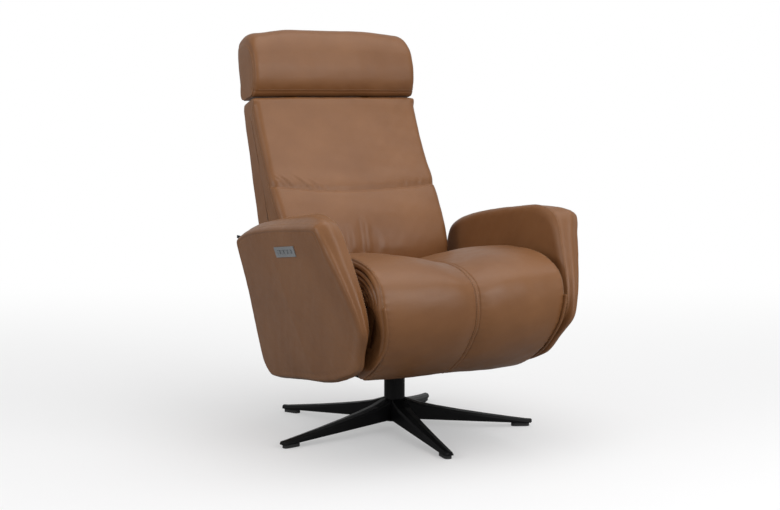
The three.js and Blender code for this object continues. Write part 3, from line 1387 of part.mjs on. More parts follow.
function actuatorBody() {
  const length = actuatorReach * ACTUATOR_BODY_SHARE;
  const half = ACTUATOR_TUBE / 2;
  const tube = block(-half, half, ACTUATOR_TUBE_START, length, -half, half);
  const motorRadius = half - GAP;
  const gearbox = block(
    -half, half + ACTUATOR_TUBE, GEARBOX_START, GEARBOX_END, -motorRadius, motorRadius,
  );
  const motor = uprightRod(motorRadius, ACTUATOR_TUBE, MOTOR_END).rotateX(-Math.PI / 2)
    .translate(ACTUATOR_TUBE + GAP, 0, 0);
  const eye = crossRod(ACTUATOR_EYE_RADIUS, -half / 2, half / 2, 0, 0);
  const neck = block(-half / 2, half / 2, 0, ACTUATOR_EYE_RADIUS + half, -half / 2, half / 2);
  const pinHole = holeRadius(LINK_PIN_RADIUS, RUNNING_CLEARANCE, ROD_SIDES);
  const pivotHole = crossRod(pinHole, -half, half, 0, 0);
  const bore = uprightRod(
    holeRadius(ACTUATOR_ROD_RADIUS, RUNNING_CLEARANCE, ROD_SIDES),
    0, length,
  ).rotateX(-Math.PI / 2).translate(0, ACTUATOR_EYE_RADIUS + half, 0);
  return alongActuator(cut(join(tube, gearbox, motor, eye, neck), pivotHole, bore));
}

function actuatorRod() {
  const start = actuatorReach * ACTUATOR_ROD_START_SHARE;
  const rod = uprightRod(ACTUATOR_ROD_RADIUS, start, actuatorReach).rotateX(-Math.PI / 2);
  const width = leverPinHalf - SOFT_GAP;
  const eye = crossRod(ACTUATOR_EYE_RADIUS, -width, width, actuatorReach, 0);
  const hole = crossRod(
    LINK_PIN_RADIUS + OPEN_PIVOT_CLEARANCE, -width - OVERRUN, width + OVERRUN, actuatorReach, 0,
  );
  return alongActuator(cut(join(rod, eye), hole));
}
add("back_actuator_body", actuatorBody(), blackPlastic);
add("back_actuator_rod", actuatorRod(), zincSteel);

// Fork on the front cross rail that holds the actuator's tail on a pin
function actuatorFork() {
  const half = ACTUATOR_TUBE / 4 + GAP * 2;
  const foot = [-CROSS_RAIL_SPREAD / 2 - CROSS_RAIL_DEPTH / 4, railTop + GAP + HINGE_PLATE / 2];
  const base = block(
    -half - HINGE_PLATE * 2, half + HINGE_PLATE * 2,
    -CROSS_RAIL_SPREAD / 2 - CROSS_RAIL_DEPTH / 2, -CROSS_RAIL_SPREAD / 2 + CROSS_RAIL_DEPTH / 2,
    railTop + GAP, railTop + GAP + HINGE_PLATE,
  );
  const cheeks = [half, -half - HINGE_PLATE].map((x) =>
    sidePlate(barShape(actuatorStart, foot, FORK_CHEEK_RADIUS), x, x + HINGE_PLATE),
  );
  const trim = block(
    -ARM_LENGTH, ARM_LENGTH, -ARM_LENGTH, ARM_LENGTH, railTop - ARM_FOOT, railTop + GAP,
  );
  const pin = crossRod(LINK_PIN_RADIUS, -half - HINGE_PLATE, half + HINGE_PLATE, ...actuatorStart);
  return cut(join(base, ...cheeks, pin), trim);
}
add("actuator_fork", actuatorFork(), zincSteel);

// Headrest: a padded roll on a rod through the two arms of the back frame
function headrestCushion() {
  const line = smoothLine(
    [...HEADREST_LINE_SHARES, HEADREST_LINE_SHARES[0]].map(([back, up]) => [
      headrestFront + back * HEADREST_DEPTH, headrestBottom + up * HEADREST_HEIGHT,
    ]),
    HEADREST_LINE_POINTS,
  ).slice(0, -1);
  const middle = [
    sum(line.map(([y]) => y)) / line.length,
    sum(line.map(([, z]) => z)) / line.length,
  ];
  const depth = HEADREST_DEPTH / 2;
  const rings = backStations(HEADREST_HALF_WIDTH, HEADREST_EDGE_ROUND).map((x) => {
    const sink = edgeSink(x, HEADREST_HALF_WIDTH, HEADREST_EDGE_ROUND) / depth;
    const corner = Math.max(Math.abs(x) - HEADREST_HALF_WIDTH + HEADREST_CORNER_LENGTH, 0);
    const drop = HEADREST_CORNER_DROP * (corner / HEADREST_CORNER_LENGTH) ** 2;
    return line.map(([y, z]) => {
      const up = Math.max((z - middle[1]) / (HEADREST_HEIGHT / 2), 0);
      const held = z > middle[1] ? 1 : HEADREST_LOW_EDGE_SHARE;
      return at(x, mix(y, middle[0], sink), mix(z, middle[1], (sink / 2) * held) - drop * up);
    });
  });
  const slots = [1, -1].map((side) => {
    const centre = side * HEADREST_BRACKET_STATION;
    const reach = HEADREST_BRACKET_RADIUS + SOFT_GAP;
    return block(
      centre - HEADREST_SLOT / 2, centre + HEADREST_SLOT / 2,
      headrestPivot[0] - reach, headrestPivot[0] + reach * 4,
      headrestBottom - HEADREST_HEIGHT / 4, headrestPivot[1] + reach,
    );
  });
  const end = HEADREST_BRACKET_STATION + HEADREST_BRACKET_RADIUS * 2;
  const bore = crossRod(HEADREST_ROD_RADIUS + GAP * 2, -end - GAP, end + GAP, ...headrestPivot);
  return cut(loft(rings, sideView), bore, ...slots);
}
add("headrest_cushion", headrestCushion(), leather);

const headrestRodEnd = HEADREST_BRACKET_STATION + HEADREST_BRACKET_RADIUS * 2;
add(
  "headrest_rod",
  crossRod(HEADREST_ROD_RADIUS, -headrestRodEnd, headrestRodEnd, ...headrestPivot),
  zincSteel,
);

// The origin: the middle of the outer box, on the floor
const bounds = new THREE.Box3().setFromObject(recliner);
const centre = bounds.getCenter(new THREE.Vector3());
recliner.position.set(-centre.x, -centre.y, -bounds.min.z);

export default recliner;
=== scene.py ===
"""Leather, stitching and finishes of a star base swivel recliner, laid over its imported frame."""
import math

import bmesh
import bpy
import numpy as np
from bpy.props import FloatProperty, FloatVectorProperty, IntProperty, PointerProperty
from mathutils import Matrix, Vector


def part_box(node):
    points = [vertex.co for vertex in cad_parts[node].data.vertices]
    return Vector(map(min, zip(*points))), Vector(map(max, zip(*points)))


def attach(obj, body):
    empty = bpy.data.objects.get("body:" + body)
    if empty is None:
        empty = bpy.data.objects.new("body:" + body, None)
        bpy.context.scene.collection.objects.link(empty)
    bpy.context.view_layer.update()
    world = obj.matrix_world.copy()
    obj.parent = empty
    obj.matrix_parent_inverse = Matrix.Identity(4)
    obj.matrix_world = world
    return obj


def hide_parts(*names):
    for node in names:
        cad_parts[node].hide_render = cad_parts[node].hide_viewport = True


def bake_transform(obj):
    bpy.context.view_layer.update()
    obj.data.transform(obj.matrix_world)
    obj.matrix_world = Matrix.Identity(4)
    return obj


bl_info = {
    "name": "Star base swivel recliner",
    "version": (1, 0, 0),
    "blender": (4, 5, 0),
    "location": "View3D > Sidebar > Recliner",
    "description": "Builds the leather, stitching and finishes of a power swivel recliner",
    "category": "Add Mesh",
}

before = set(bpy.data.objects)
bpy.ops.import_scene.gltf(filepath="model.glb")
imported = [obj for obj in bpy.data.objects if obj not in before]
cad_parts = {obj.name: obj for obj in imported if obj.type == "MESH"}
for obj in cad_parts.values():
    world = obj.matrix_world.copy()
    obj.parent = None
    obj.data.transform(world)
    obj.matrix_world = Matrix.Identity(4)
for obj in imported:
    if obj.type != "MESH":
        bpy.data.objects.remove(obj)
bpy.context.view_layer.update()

# Lengths below are millimetres from the swivel's axis on the floor; x to the sitter's left,
# y to the rear. The axis stands a little off the middle of the frame's box.
MILLIMETRE = 0.001
COLUMN = [(low + high) / 2 for low, high in zip(*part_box("column_tube"))]
AXIS_Y = COLUMN[1]

# Seat and leg rest: the crowned line of the leather in side view, rear to low end
SEAT_REACH = 445.0
SEAT_HEIGHT = 502.0
SEAT_LINE_SHARES = [
    (0.36, 0.86), (0.2, 0.893), (0.03, 0.93), (-0.24, 0.98), (-0.44, 1.0), (-0.636, 0.997),
    (-0.762, 0.982), (-0.863, 0.952), (-0.944, 0.906), (-0.984, 0.847), (-1.0, 0.767),
    (-0.991, 0.687), (-0.955, 0.618), (-0.894, 0.55), (-0.813, 0.489), (-0.719, 0.438),
    (-0.65, 0.4085), (-0.589, 0.3875),
]
SEAT_HALF_WIDTH = 262.0
SEAT_LOW_HALF_WIDTH = 232.0
SEAT_NARROWS_BELOW = 394.0
SEAT_NARROWS_TO = 214.0
SEAT_EDGE_ROUND = 18.0
SEAT_CHANNEL = (25.0, 105.0)
SEAT_CHANNEL_LOW = (9.0, 34.0)
SEAT_SEAM = (2.5, 15.0)
SEAT_FRONT_BOW = 16.0
SEAT_SKIN = 5.0
# Stations across the seat: the skin's edge, its side seams, and the threads beside the seams
SEAT_SKIN_EDGE = 261.3
SEAT_SIDE_SEAM = 257.0
SEAT_THREADS = (-3.9, 3.9, -253.5, 253.5)
SEAT_THREAD_LIFT = 0.3
SIDE_THICKNESS = 3.0
PAD_HALF_WIDTH = 257.0
CUSHION_FOOT = 372.0
CUSHION_STEP = 408.5
CREASE_Y = -400.0
CREASE_Z = 423.0
LEGREST_SLOPE = math.radians(59)
LEGREST_BOARD_SKIN = -6.4
LEGREST_BOARD_START = 34.0
LEGREST_BOARD_END = 238.0

# Back, laid out along its lean from the recline pivot
RECLINE_Y = 232.0
RECLINE_Z = 365.0
BACK_LEAN = math.radians(18.4)
BACK_HALF_WIDTH = 254.0
BACK_FOOT = 28.0
BACK_LENGTH = 540.0
BACK_DEPTH = 122.0
BACK_REAR = 40.0
BACK_FRONT_SHARES = [
    (0.0, 0.84), (0.09, 0.97), (0.18, 1.0), (0.27, 0.975), (0.36, 0.885), (0.46, 0.765),
    (0.57, 0.655), (0.68, 0.555), (0.79, 0.47), (0.89, 0.41), (0.96, 0.38), (1.0, 0.345),
]
BACK_CROWN = 8.0
BACK_EDGE_ROUND = 20.0
BACK_SEAM_SHARE = 0.485
BACK_SEAM_DROOP = 20.0
SKIRT_FOOT = -78.0
SKIRT_HALF_WIDTH = 244.0
SKIRT_FRONT = 28.5

# Headrest, in side view as shares of its depth and height
HEADREST_HALF_WIDTH = 255.0
HEADREST_FRONT = 366.0
HEADREST_BOTTOM = 890.9
HEADREST_HEIGHT = 186.0
HEADREST_DEPTH = 120.0
HEADREST_LINE_SHARES = [
    (0.12, 0.0), (0.06, 0.014), (0.0, 0.045), (-0.055, 0.092), (-0.1, 0.15), (-0.13, 0.22),
    (-0.139, 0.31), (-0.126, 0.44), (-0.08, 0.58),
    (-0.01, 0.735), (0.1, 0.87), (0.25, 0.97), (0.45, 1.02), (0.7, 1.01), (0.89, 0.955),
    (0.985, 0.86), (1.0, 0.7), (0.975, 0.48), (0.91, 0.27), (0.82, 0.07), (0.71, -0.04),
    (0.58, -0.062), (0.3, -0.024),
]
HEADREST_LOW_SEAM = HEADREST_BOTTOM + 15.0
HEADREST_CORNER = 36.0
HEADREST_CORNER_FALL = 12.0
HEADREST_END_ROUND = 18.0
HEADREST_PIVOT = (393.0, 913.94)
HEADREST_ARM_STATION = 118.0
# Slots for the back frame's arms: offset from the pivot to the rear and up, and their size
HEADREST_SLOT_OFFSET = (17.0, -27.0)
HEADREST_SLOT = (9.5, 57.0, 78.0)

# Arms, in side view as shares of their length and height from the rear foot
ARM_REAR = 289.0
ARM_LENGTH = 697.0
ARM_FOOT = 124.0
ARM_HEIGHT = 462.0
ARM_LINE_SHARES = [
    (0.0, 0.085), (0.02, 0.22), (0.047, 0.392), (0.069, 0.55), (0.077, 0.712), (0.082, 0.8),
    (0.098, 0.834), (0.209, 0.889), (0.397, 0.935), (0.58, 0.965), (0.749, 0.987),
    (0.825, 0.995), (0.86, 0.985), (0.893, 0.9), (0.94, 0.77), (0.981, 0.63), (1.0, 0.517),
    (0.997, 0.444), (0.948, 0.351), (0.904, 0.262), (0.851, 0.22), (0.776, 0.182),
    (0.648, 0.126), (0.525, 0.089), (0.33, 0.052), (0.089, 0.0), (0.03, 0.012),
]
ARM_INNER_RISE = 41.0
ARM_RISE_FULL_Y = -195.0
ARM_RISE_END_Y = -335.0
ARM_TOP_HALF_WIDTH = 385.0
ARM_OUTER_LEAN = 0.293
ARM_KNEE_WIDTH = 275.6
ARM_KNEE_HEIGHT = 353.0
ARM_INNER_LEAN_ABOVE = 0.11
ARM_INNER_LEAN_BELOW = 0.285
ARM_PANEL_CROWN = 5.0
ARM_CREASE_TOP = (-18.0, 500.0)
ARM_CREASE_LOW = (-46.0, 250.0)
ARM_CREASE_RISE = 2.4
ARM_CREASE_REACH = 45.0
ARM_FLARE = (-7.0, 5.0)
# Where the inner face's low front corner is cut back, and where the padding stands fullest:
# the place in side view, the way that the line moves there, how far, and within what reach
ARM_LOW_CORNER = ((-365.0, 262.0), (0.665, 0.747), 26.0, 85.0)
ARM_HIGH_CORNER = ((-296.0, 584.0), (-0.5, 0.86), 12.0, 62.0)


def colour_setting(name, description, default):
    return FloatVectorProperty(
        name=name, description=description, default=default, subtype="COLOR", size=3, min=0.0, max=1.0,
    )


def length_setting(name, description, default, least, most):
    return FloatProperty(
        name=name, description=description, default=default, min=least, max=most, unit="LENGTH",
    )


def share_setting(name, description, default, least=0.05):
    return FloatProperty(
        name=name, description=description, default=default, min=least, max=1.0, subtype="FACTOR",
    )


def watt_setting(name, description, default):
    return FloatProperty(
        name=name, description=f"{description}, in watts", default=default, min=0.0, max=1000.0,
    )


class ReclinerLeather(bpy.types.PropertyGroup):
    """Colour and surface of the leather"""

    colour: colour_setting("Leather colour", "Main colour of the hide", (0.242, 0.107, 0.041))
    shade: colour_setting("Mottle colour", "Darker colour that clouds the hide", (0.194, 0.082, 0.030))
    pebble: length_setting("Pebble size", "Width of one pebble of the grain", 0.0016, 0.0004, 0.01)
    pebble_depth: length_setting("Pebble depth", "Depth of the grain's creases", 0.00022, 0.0, 0.002)
    gloss: share_setting("Roughness", "Roughness of the finish", 0.38)


class ReclinerStitching(bpy.types.PropertyGroup):
    """Thread of the seams"""

    pitch: length_setting("Stitch pitch", "Distance from one stitch to the next", 0.0062, 0.002, 0.02)
    length: length_setting("Stitch length", "Length of thread that shows", 0.0044, 0.001, 0.02)
    thickness: length_setting("Thread thickness", "Diameter of the thread", 0.0011, 0.0003, 0.004)
    colour: colour_setting("Thread colour", "Colour of the thread", (0.38, 0.22, 0.125))
    seed: IntProperty(
        name="Seed", description="Seed of the slight turn of each stitch", default=7, min=0,
    )


class ReclinerUpholstery(bpy.types.PropertyGroup):
    """Fullness of the padding"""

    seat_puff: length_setting("Seat fullness", "Extra crown of each half of the seat", 0.003, 0.0, 0.01)
    pucker: length_setting("Pucker depth", "Depth of the folds at the seams", 0.0011, 0.0, 0.004)
    seam_depth: length_setting("Seam depth", "How deep a seam draws the leather in", 0.0022, 0.0, 0.006)


class ReclinerMetal(bpy.types.PropertyGroup):
    """Finishes of the base and the control panel"""

    base_colour: colour_setting("Base colour", "Powder coat of the star base", (0.003, 0.003, 0.0033))
    base_gloss: share_setting("Base roughness", "Roughness of the powder coat", 0.42)
    panel_colour: colour_setting("Panel colour", "Brushed face of the panel", (0.33, 0.345, 0.36))


class ReclinerStage(bpy.types.PropertyGroup):
    """Floor, light and camera"""

    floor_colour: colour_setting("Floor colour", "Colour of the near floor", (0.87, 0.87, 0.875))
    floor_bounce: share_setting("Floor bounce", "Share of light that the floor throws back", 0.34, 0.0)
    key_power: watt_setting("Key light", "Power of the soft light overhead", 47.0)
    fill_power: watt_setting("Front light", "Power of the soft light in front", 50.0)
    side_power: watt_setting("Side light", "Power of the soft light at the right arm's side", 33.0)
    room_light: FloatProperty(
        name="Room light", description="Strength of the even light of the room",
        default=0.52, min=0.0, max=2.0,
    )
    lens: FloatProperty(
        name="Lens", description="Focal length of the camera, in millimetres",
        default=65.82, min=10.0, max=300.0,
    )


def padding(setting):
    """One of the upholstery's settings, in millimetres."""
    return getattr(bpy.context.scene.recliner_upholstery, setting) / MILLIMETRE


# ---- lines and surfaces


def to_row(points):
    """Millimetres from the swivel's axis to metres in the row's frame."""
    placed = np.asarray(points, float) * MILLIMETRE
    return placed + np.array([0.0, AXIS_Y, 0.0])


def smooth_line(places, count):
    """Evenly spaced points on the smooth curve through some places."""
    p = np.array(places, float)
    last = len(p) - 1
    t = np.linspace(0, last, 60 * len(p))
    i = np.minimum(t.astype(int), last - 1)
    w = (t - i)[:, None]
    before, start, end, after = p[np.maximum(i - 1, 0)], p[i], p[i + 1], p[np.minimum(i + 2, last)]
    out, into = (end - before) / 2, (after - start) / 2
    line = (
        (2 * start - 2 * end + out + into) * w**3
        + (-3 * start + 3 * end - 2 * out - into) * w**2 + out * w + start
    )
    return even_steps(line, count)


def lengths_along(line):
    steps = np.linalg.norm(np.diff(line, axis=0), axis=1)
    return np.concatenate([[0.0], np.cumsum(steps)])


def even_steps(line, count):
    """The same line cut in steps of one length."""
    run = lengths_along(line)
    wanted = np.linspace(0, run[-1], count)
    return np.stack([np.interp(wanted, run, line[:, k]) for k in range(line.shape[1])], axis=1)


def line_normals(line, closed=False):
    """Unit normals to the left of a line that runs clockwise, so they point outwards."""
    if closed:
        run = np.roll(line, -1, axis=0) - np.roll(line, 1, axis=0)
    else:
        run = np.gradient(line, axis=0)
    normals = np.stack([run[:, 1], -run[:, 0]], axis=1)
    return normals / np.linalg.norm(normals, axis=1, keepdims=True)


def outward_normals(line, middle):
    normals = line_normals(line, closed=True)
    return normals if ((line - middle) * normals).sum() > 0 else -normals


def spaced(low, high, step, marks=(), near=1.0, reach=14.0):
    """Stations from low to high, closer together within reach of each mark."""
    fine = np.linspace(low, high, 4000)
    gap = np.full(fine.shape, float(step))
    for mark in marks:
        gap = np.minimum(gap, near + (step - near) * np.clip(np.abs(fine - mark) / reach, 0, 1) ** 2)
    run = np.concatenate([[0.0], np.cumsum(np.diff(fine) / gap[1:])])
    count = max(int(run[-1]) + 1, 3)
    return np.interp(np.linspace(0, run[-1], count), run, fine)


def run_of(mask):
    """Numbers of the one run of marked points on a closed line, in order along it."""
    order = np.nonzero(mask)[0]
    breaks = np.nonzero(np.diff(order) > 1)[0]
    if len(breaks):
        order = np.concatenate([order[breaks[0] + 1:], order[:breaks[0] + 1]])
    return order


def bell(distance, half_width):
    return np.exp(-((distance / half_width) ** 2))


def ease(low, high, value):
    """0 below low, 1 above high, smooth between."""
    t = np.clip((value - low) / (high - low), 0, 1)
    return t * t * (3 - 2 * t)


def ripple(points, wave, seed):
    """Soft seeded unevenness from -1 to 1 with about the given wavelength, in the points' unit."""
    draw = np.random.default_rng(seed)
    total = np.zeros(np.asarray(points).shape[:-1])
    for _ in range(7):
        way = draw.normal(size=3)
        way *= 2 * math.pi / (wave * draw.uniform(0.7, 1.5)) / np.linalg.norm(way)
        total += np.sin(points @ way + draw.uniform(0, 2 * math.pi))
    return total / 3.2


def edge_drop(x, half_width, radius):
    """How far a quarter-round edge has fallen at x."""
    inside = np.clip(np.abs(x) - (half_width - radius), 0, radius)
    return radius - np.sqrt(radius**2 - inside**2)


def grid_normals(grid, closed_across=False):
    """Unit normals of a grid of points[along, across]."""
    along = np.gradient(grid, axis=0)
    if closed_across:
        across = np.roll(grid, -1, axis=1) - np.roll(grid, 1, axis=1)
    else:
        across = np.gradient(grid, axis=1)
    normals = np.cross(along, across)
    return normals / np.maximum(np.linalg.norm(normals, axis=2, keepdims=True), 1e-9)


def proud_grid(grid, amount, closed_across=False, outward=1.0):
    """The grid moved out along its own normals."""
    return grid + grid_normals(grid, closed_across) * (outward * amount)[..., None]


def link_object(name, data):
    piece = bpy.data.objects.new(name, data)
    bpy.context.scene.collection.objects.link(piece)
    return piece


def shade_smooth(mesh):
    for polygon in mesh.polygons:
        polygon.use_smooth = True


def link_mesh(name, points, faces, edges=()):
    mesh = bpy.data.meshes.new(name)
    mesh.from_pydata([tuple(p) for p in points], list(edges), faces)
    mesh.validate()
    shade_smooth(mesh)
    return link_object(name, mesh)


def turned_outwards(points, faces):
    """The faces, turned if they enclose a negative volume."""
    volume = 0.0
    for face in faces:
        first = points[face[0]]
        for a, b in zip(face[1:-1], face[2:]):
            volume += np.dot(first, np.cross(points[a], points[b]))
    return faces if volume > 0 else [tuple(reversed(face)) for face in faces]


def closed_tube(name, grid):
    """A closed piece from rings of points[along, around], with a point in each end's middle."""
    rows, count = grid.shape[:2]
    points = np.concatenate([grid.reshape(-1, 3), grid[0].mean(0)[None], grid[-1].mean(0)[None]])
    faces = []
    for r in range(rows - 1):
        for c in range(count):
            d = (c + 1) % count
            faces.append((r * count + c, r * count + d, (r + 1) * count + d, (r + 1) * count + c))
    first, last = rows * count, rows * count + 1
    for c in range(count):
        d = (c + 1) % count
        faces.append((first, d, c))
        faces.append((last, (rows - 1) * count + c, (rows - 1) * count + d))
    placed = to_row(points)
    return link_mesh(name, placed, turned_outwards(placed, faces))


def closed_sheet(name, outer, inner):
    """A closed skin between two grids of points[along, across]."""
    rows, count = outer.shape[:2]
    points = np.concatenate([outer.reshape(-1, 3), inner.reshape(-1, 3)])
    far = rows * count
    faces = []
    for r in range(rows - 1):
        for c in range(count - 1):
            a, b = r * count + c, (r + 1) * count + c
            faces.append((a, a + 1, b + 1, b))
            faces.append((far + a, far + b, far + b + 1, far + a + 1))
    for r in range(rows - 1):
        for c in (0, count - 1):
            a, b = r * count + c, (r + 1) * count + c
            faces.append((a, b, far + b, far + a) if c == 0 else (b, a, far + a, far + b))
    for c in range(count - 1):
        for r in (0, rows - 1):
            a = r * count + c
            face = (a + 1, a, far + a, far + a + 1)
            faces.append(face if r == 0 else tuple(reversed(face)))
    placed = to_row(points)
    return link_mesh(name, placed, turned_outwards(placed, faces))


def apply_modifiers(piece):
    """Fixes the piece's modifiers in its mesh."""
    graph = bpy.context.evaluated_depsgraph_get()
    mesh = bpy.data.meshes.new_from_object(piece.evaluated_get(graph), depsgraph=graph)
    piece.modifiers.clear()
    piece.data = mesh
    shade_smooth(mesh)
    return piece


# ---- shader groups and finishes


def add_node(tree, kind, inputs, **settings):
    """A node with its settings made and its inputs, by name or number, linked or given a value."""
    node = tree.nodes.new(kind)
    for name, value in settings.items():
        setattr(node, name, value)
    for key, value in inputs.items():
        socket = node.inputs[key]
        if isinstance(value, bpy.types.NodeSocket):
            tree.links.new(value, socket)
        else:
            socket.default_value = (*value[:3], 1.0) if socket.type == "RGBA" else value
    return node


def math_node(tree, operation, *values):
    return add_node(tree, "ShaderNodeMath", dict(enumerate(values)), operation=operation).outputs[0]


def noise_node(tree, place, scale, detail=3.0, roughness=0.55, distortion=0.0):
    return add_node(tree, "ShaderNodeTexNoise", {
        "Vector": place, "Scale": scale, "Detail": detail, "Roughness": roughness,
        "Distortion": distortion,
    }).outputs["Fac"]


def colour_mix(tree, share, low, high, blend_type="MIX"):
    values = {"Factor": share, 6: low, 7: high}
    return add_node(
        tree, "ShaderNodeMix", values, data_type="RGBA", blend_type=blend_type,
    ).outputs[2]


def clouded(tree, pattern, gain, offset, low, high):
    """One colour clouded with another where a pattern, stretched by gain and offset, is high."""
    share = math_node(tree, "MULTIPLY_ADD", pattern, gain, offset)
    clamp = add_node(tree, "ShaderNodeClamp", {"Value": share})
    return colour_mix(tree, clamp.outputs[0], low, high)


def new_group(name, inputs):
    """A shader group with inputs from a table of defaults, and the outputs that every finish has."""
    tree = bpy.data.node_groups.new(name, "ShaderNodeTree")
    kinds = {1: "NodeSocketFloat", 3: "NodeSocketVector", 4: "NodeSocketColor"}
    for title, default in inputs.items():
        kind = kinds[np.size(default)]
        tree.interface.new_socket(title, in_out="INPUT", socket_type=kind).default_value = default
    for title, size in (("Colour", 4), ("Roughness", 1), ("Normal", 3)):
        tree.interface.new_socket(title, in_out="OUTPUT", socket_type=kinds[size])
    place = tree.nodes.new("ShaderNodeTexCoord").outputs["Object"]
    return tree, tree.nodes.new("NodeGroupInput").outputs, place


def end_group(tree, given, tint, height, strength, unevenness, spread):
    """Sends the colour, an uneven roughness and the relief to the group's outputs."""
    relief = {"Strength": strength, "Distance": given["Depth"], "Height": height}
    uneven = math_node(tree, "MULTIPLY_ADD", unevenness, spread, -spread / 2)
    add_node(tree, "NodeGroupOutput", {
        "Colour": tint, "Roughness": math_node(tree, "ADD", uneven, given["Roughness"]),
        "Normal": add_node(tree, "ShaderNodeBump", relief).outputs[0],
    })
    return tree


def leather_grain_group():
    """Pebbled grain, clouding and pores of leather, from object coordinates."""
    tree, given, place = new_group("Leather grain", {
        "Colour": (0.26, 0.13, 0.07, 1.0), "Mottle": (0.2, 0.1, 0.05, 1.0),
        "Pebbles per metre": 620.0, "Depth": 0.0002, "Roughness": 0.43,
    })
    pebbles = add_node(
        tree, "ShaderNodeTexVoronoi",
        {"Vector": place, "Scale": given["Pebbles per metre"], "Smoothness": 0.55}, feature="SMOOTH_F1",
    ).outputs["Distance"]
    pores = noise_node(tree, place, 1900.0, detail=2.0)
    folds = noise_node(tree, place, 34.0, detail=4.0, roughness=0.6, distortion=0.8)
    small = math_node(tree, "MULTIPLY", pores, 0.25)
    large = math_node(tree, "MULTIPLY", folds, 1.6)
    relief = math_node(
        tree, "ADD", math_node(tree, "MULTIPLY", pebbles, -1.0), math_node(tree, "ADD", small, large),
    )
    clouds = noise_node(tree, place, 5.5, detail=5.0, roughness=0.6)
    tint = clouded(tree, clouds, 2.4, -0.75, given["Mottle"], given["Colour"])
    crease = math_node(tree, "MULTIPLY", pebbles, 0.16)
    dark = colour_mix(tree, crease, tint, (0.45, 0.36, 0.3), blend_type="MULTIPLY")
    return end_group(tree, given, dark, relief, 0.5, folds, 0.16)


def fine_grain_group():
    """Fine unevenness of a coated, cast or moulded surface, from object coordinates."""
    tree, given, place = new_group("Fine surface", {
        "Colour": (0.02, 0.02, 0.02, 1.0), "Worn colour": (0.04, 0.04, 0.04, 1.0),
        "Grains per metre": 900.0, "Depth": 0.0001, "Roughness": 0.4, "Stretch": (1.0, 1.0, 1.0),
    })
    values = {0: place, 1: given["Stretch"]}
    stretched = add_node(tree, "ShaderNodeVectorMath", values, operation="MULTIPLY").outputs[0]
    grain = noise_node(tree, stretched, given["Grains per metre"], roughness=0.5)
    wear = noise_node(tree, place, 21.0, detail=5.0)
    tint = clouded(tree, wear, 1.8, -0.5, given["Colour"], given["Worn colour"])
    return end_group(tree, given, tint, grain, 0.4, wear, 0.14)


def bare_tree(owner, kind):
    """The emptied nodes of a material or the world, with its output's Surface socket."""
    owner.use_nodes = True
    tree = owner.node_tree
    tree.nodes.clear()
    return tree, tree.nodes.new(f"ShaderNodeOutput{kind}").inputs["Surface"]


def finish_from(name, group, values, metallic=0.0, specular=0.5):
    """A material: one shader group with its own values, fed to a Principled shader."""
    if name in bpy.data.materials:
        return bpy.data.materials[name]
    material = bpy.data.materials.new(name)
    tree, surface = bare_tree(material, "Material")
    grain = add_node(tree, "ShaderNodeGroup", values, node_tree=group).outputs
    shader = add_node(tree, "ShaderNodeBsdfPrincipled", {
        "Metallic": metallic, "Specular IOR Level": specular, "Base Color": grain["Colour"],
        "Roughness": grain["Roughness"], "Normal": grain["Normal"],
    })
    tree.links.new(shader.outputs[0], surface)
    return material


def group_named(name, maker):
    return bpy.data.node_groups.get(name) or maker()


def leather_finish():
    look = bpy.context.scene.recliner_leather
    return finish_from(
        "Chestnut leather", group_named("Leather grain", leather_grain_group),
        {
            "Colour": tuple(look.colour), "Mottle": tuple(look.shade),
            "Pebbles per metre": 1 / look.pebble, "Depth": look.pebble_depth,
            "Roughness": look.gloss,
        },
        specular=0.34,
    )


def plain_finish(name, colour, worn, grains, depth, roughness, stretch=(1, 1, 1), **shine):
    values = {
        "Colour": colour, "Worn colour": worn, "Grains per metre": grains, "Depth": depth,
        "Roughness": roughness, "Stretch": stretch,
    }
    return finish_from(name, group_named("Fine surface", fine_grain_group), values, **shine)


COAL, ASH = (0.012, 0.012, 0.013), (0.03, 0.03, 0.03)
# Name, colour, worn colour, grains per metre, depth and roughness, and what else shines or stretches
PLAIN_FINISHES = {
    "zinc": (
        "Zinc plated steel", (0.44, 0.45, 0.46), (0.3, 0.31, 0.32), 500.0, 0.00005, 0.34,
        {"metallic": 1.0},
    ),
    "nylon": ("Nylon", (0.62, 0.6, 0.54), (0.55, 0.53, 0.47), 700.0, 0.00004, 0.5, {}),
    "glide": ("Glide plastic", COAL, ASH, 900.0, 0.0001, 0.6, {}),
    "plywood": (
        "Birch plywood", (0.42, 0.27, 0.14), (0.3, 0.18, 0.09), 160.0, 0.0003, 0.62,
        {"stretch": (1, 0.08, 1)},
    ),
    "lining": ("Black lining cloth", COAL, (0.022, 0.022, 0.023), 1100.0, 0.0004, 0.9, {}),
    "housing": ("Motor housing", (0.014, 0.014, 0.016), ASH, 800.0, 0.00012, 0.5, {}),
    "key": ("Key plastic", (0.17, 0.18, 0.19), (0.21, 0.22, 0.23), 900.0, 0.00006, 0.45, {}),
}


def hardware_finishes():
    """Finish of each carried-over node, by the name of its material."""
    metal = bpy.context.scene.recliner_metal
    black, silver = tuple(metal.base_colour), tuple(metal.panel_colour)
    finishes = {kind: plain_finish(*row[:6], **row[6]) for kind, row in PLAIN_FINISHES.items()}
    finishes["powder coat"] = plain_finish(
        "Black powder coat", black, tuple(c * 1.8 for c in black), 1400.0, 0.00012,
        metal.base_gloss, specular=0.16,
    )
    finishes["panel"] = plain_finish(
        "Brushed silver panel", silver, tuple(c * 1.25 for c in silver), 600.0, 0.00003, 0.34,
        metallic=0.75, stretch=(1, 0.04, 1),
    )
    return finishes


def dress(piece, material):
    piece.data.materials.clear()
    piece.data.materials.append(material)
    return piece


# ---- stitching

# Most that a stitch turns from its seam's direction, in radians
STITCH_SWAY = 0.06
# How far the thread's middle stands off the leather
THREAD_LIFT = 0.25


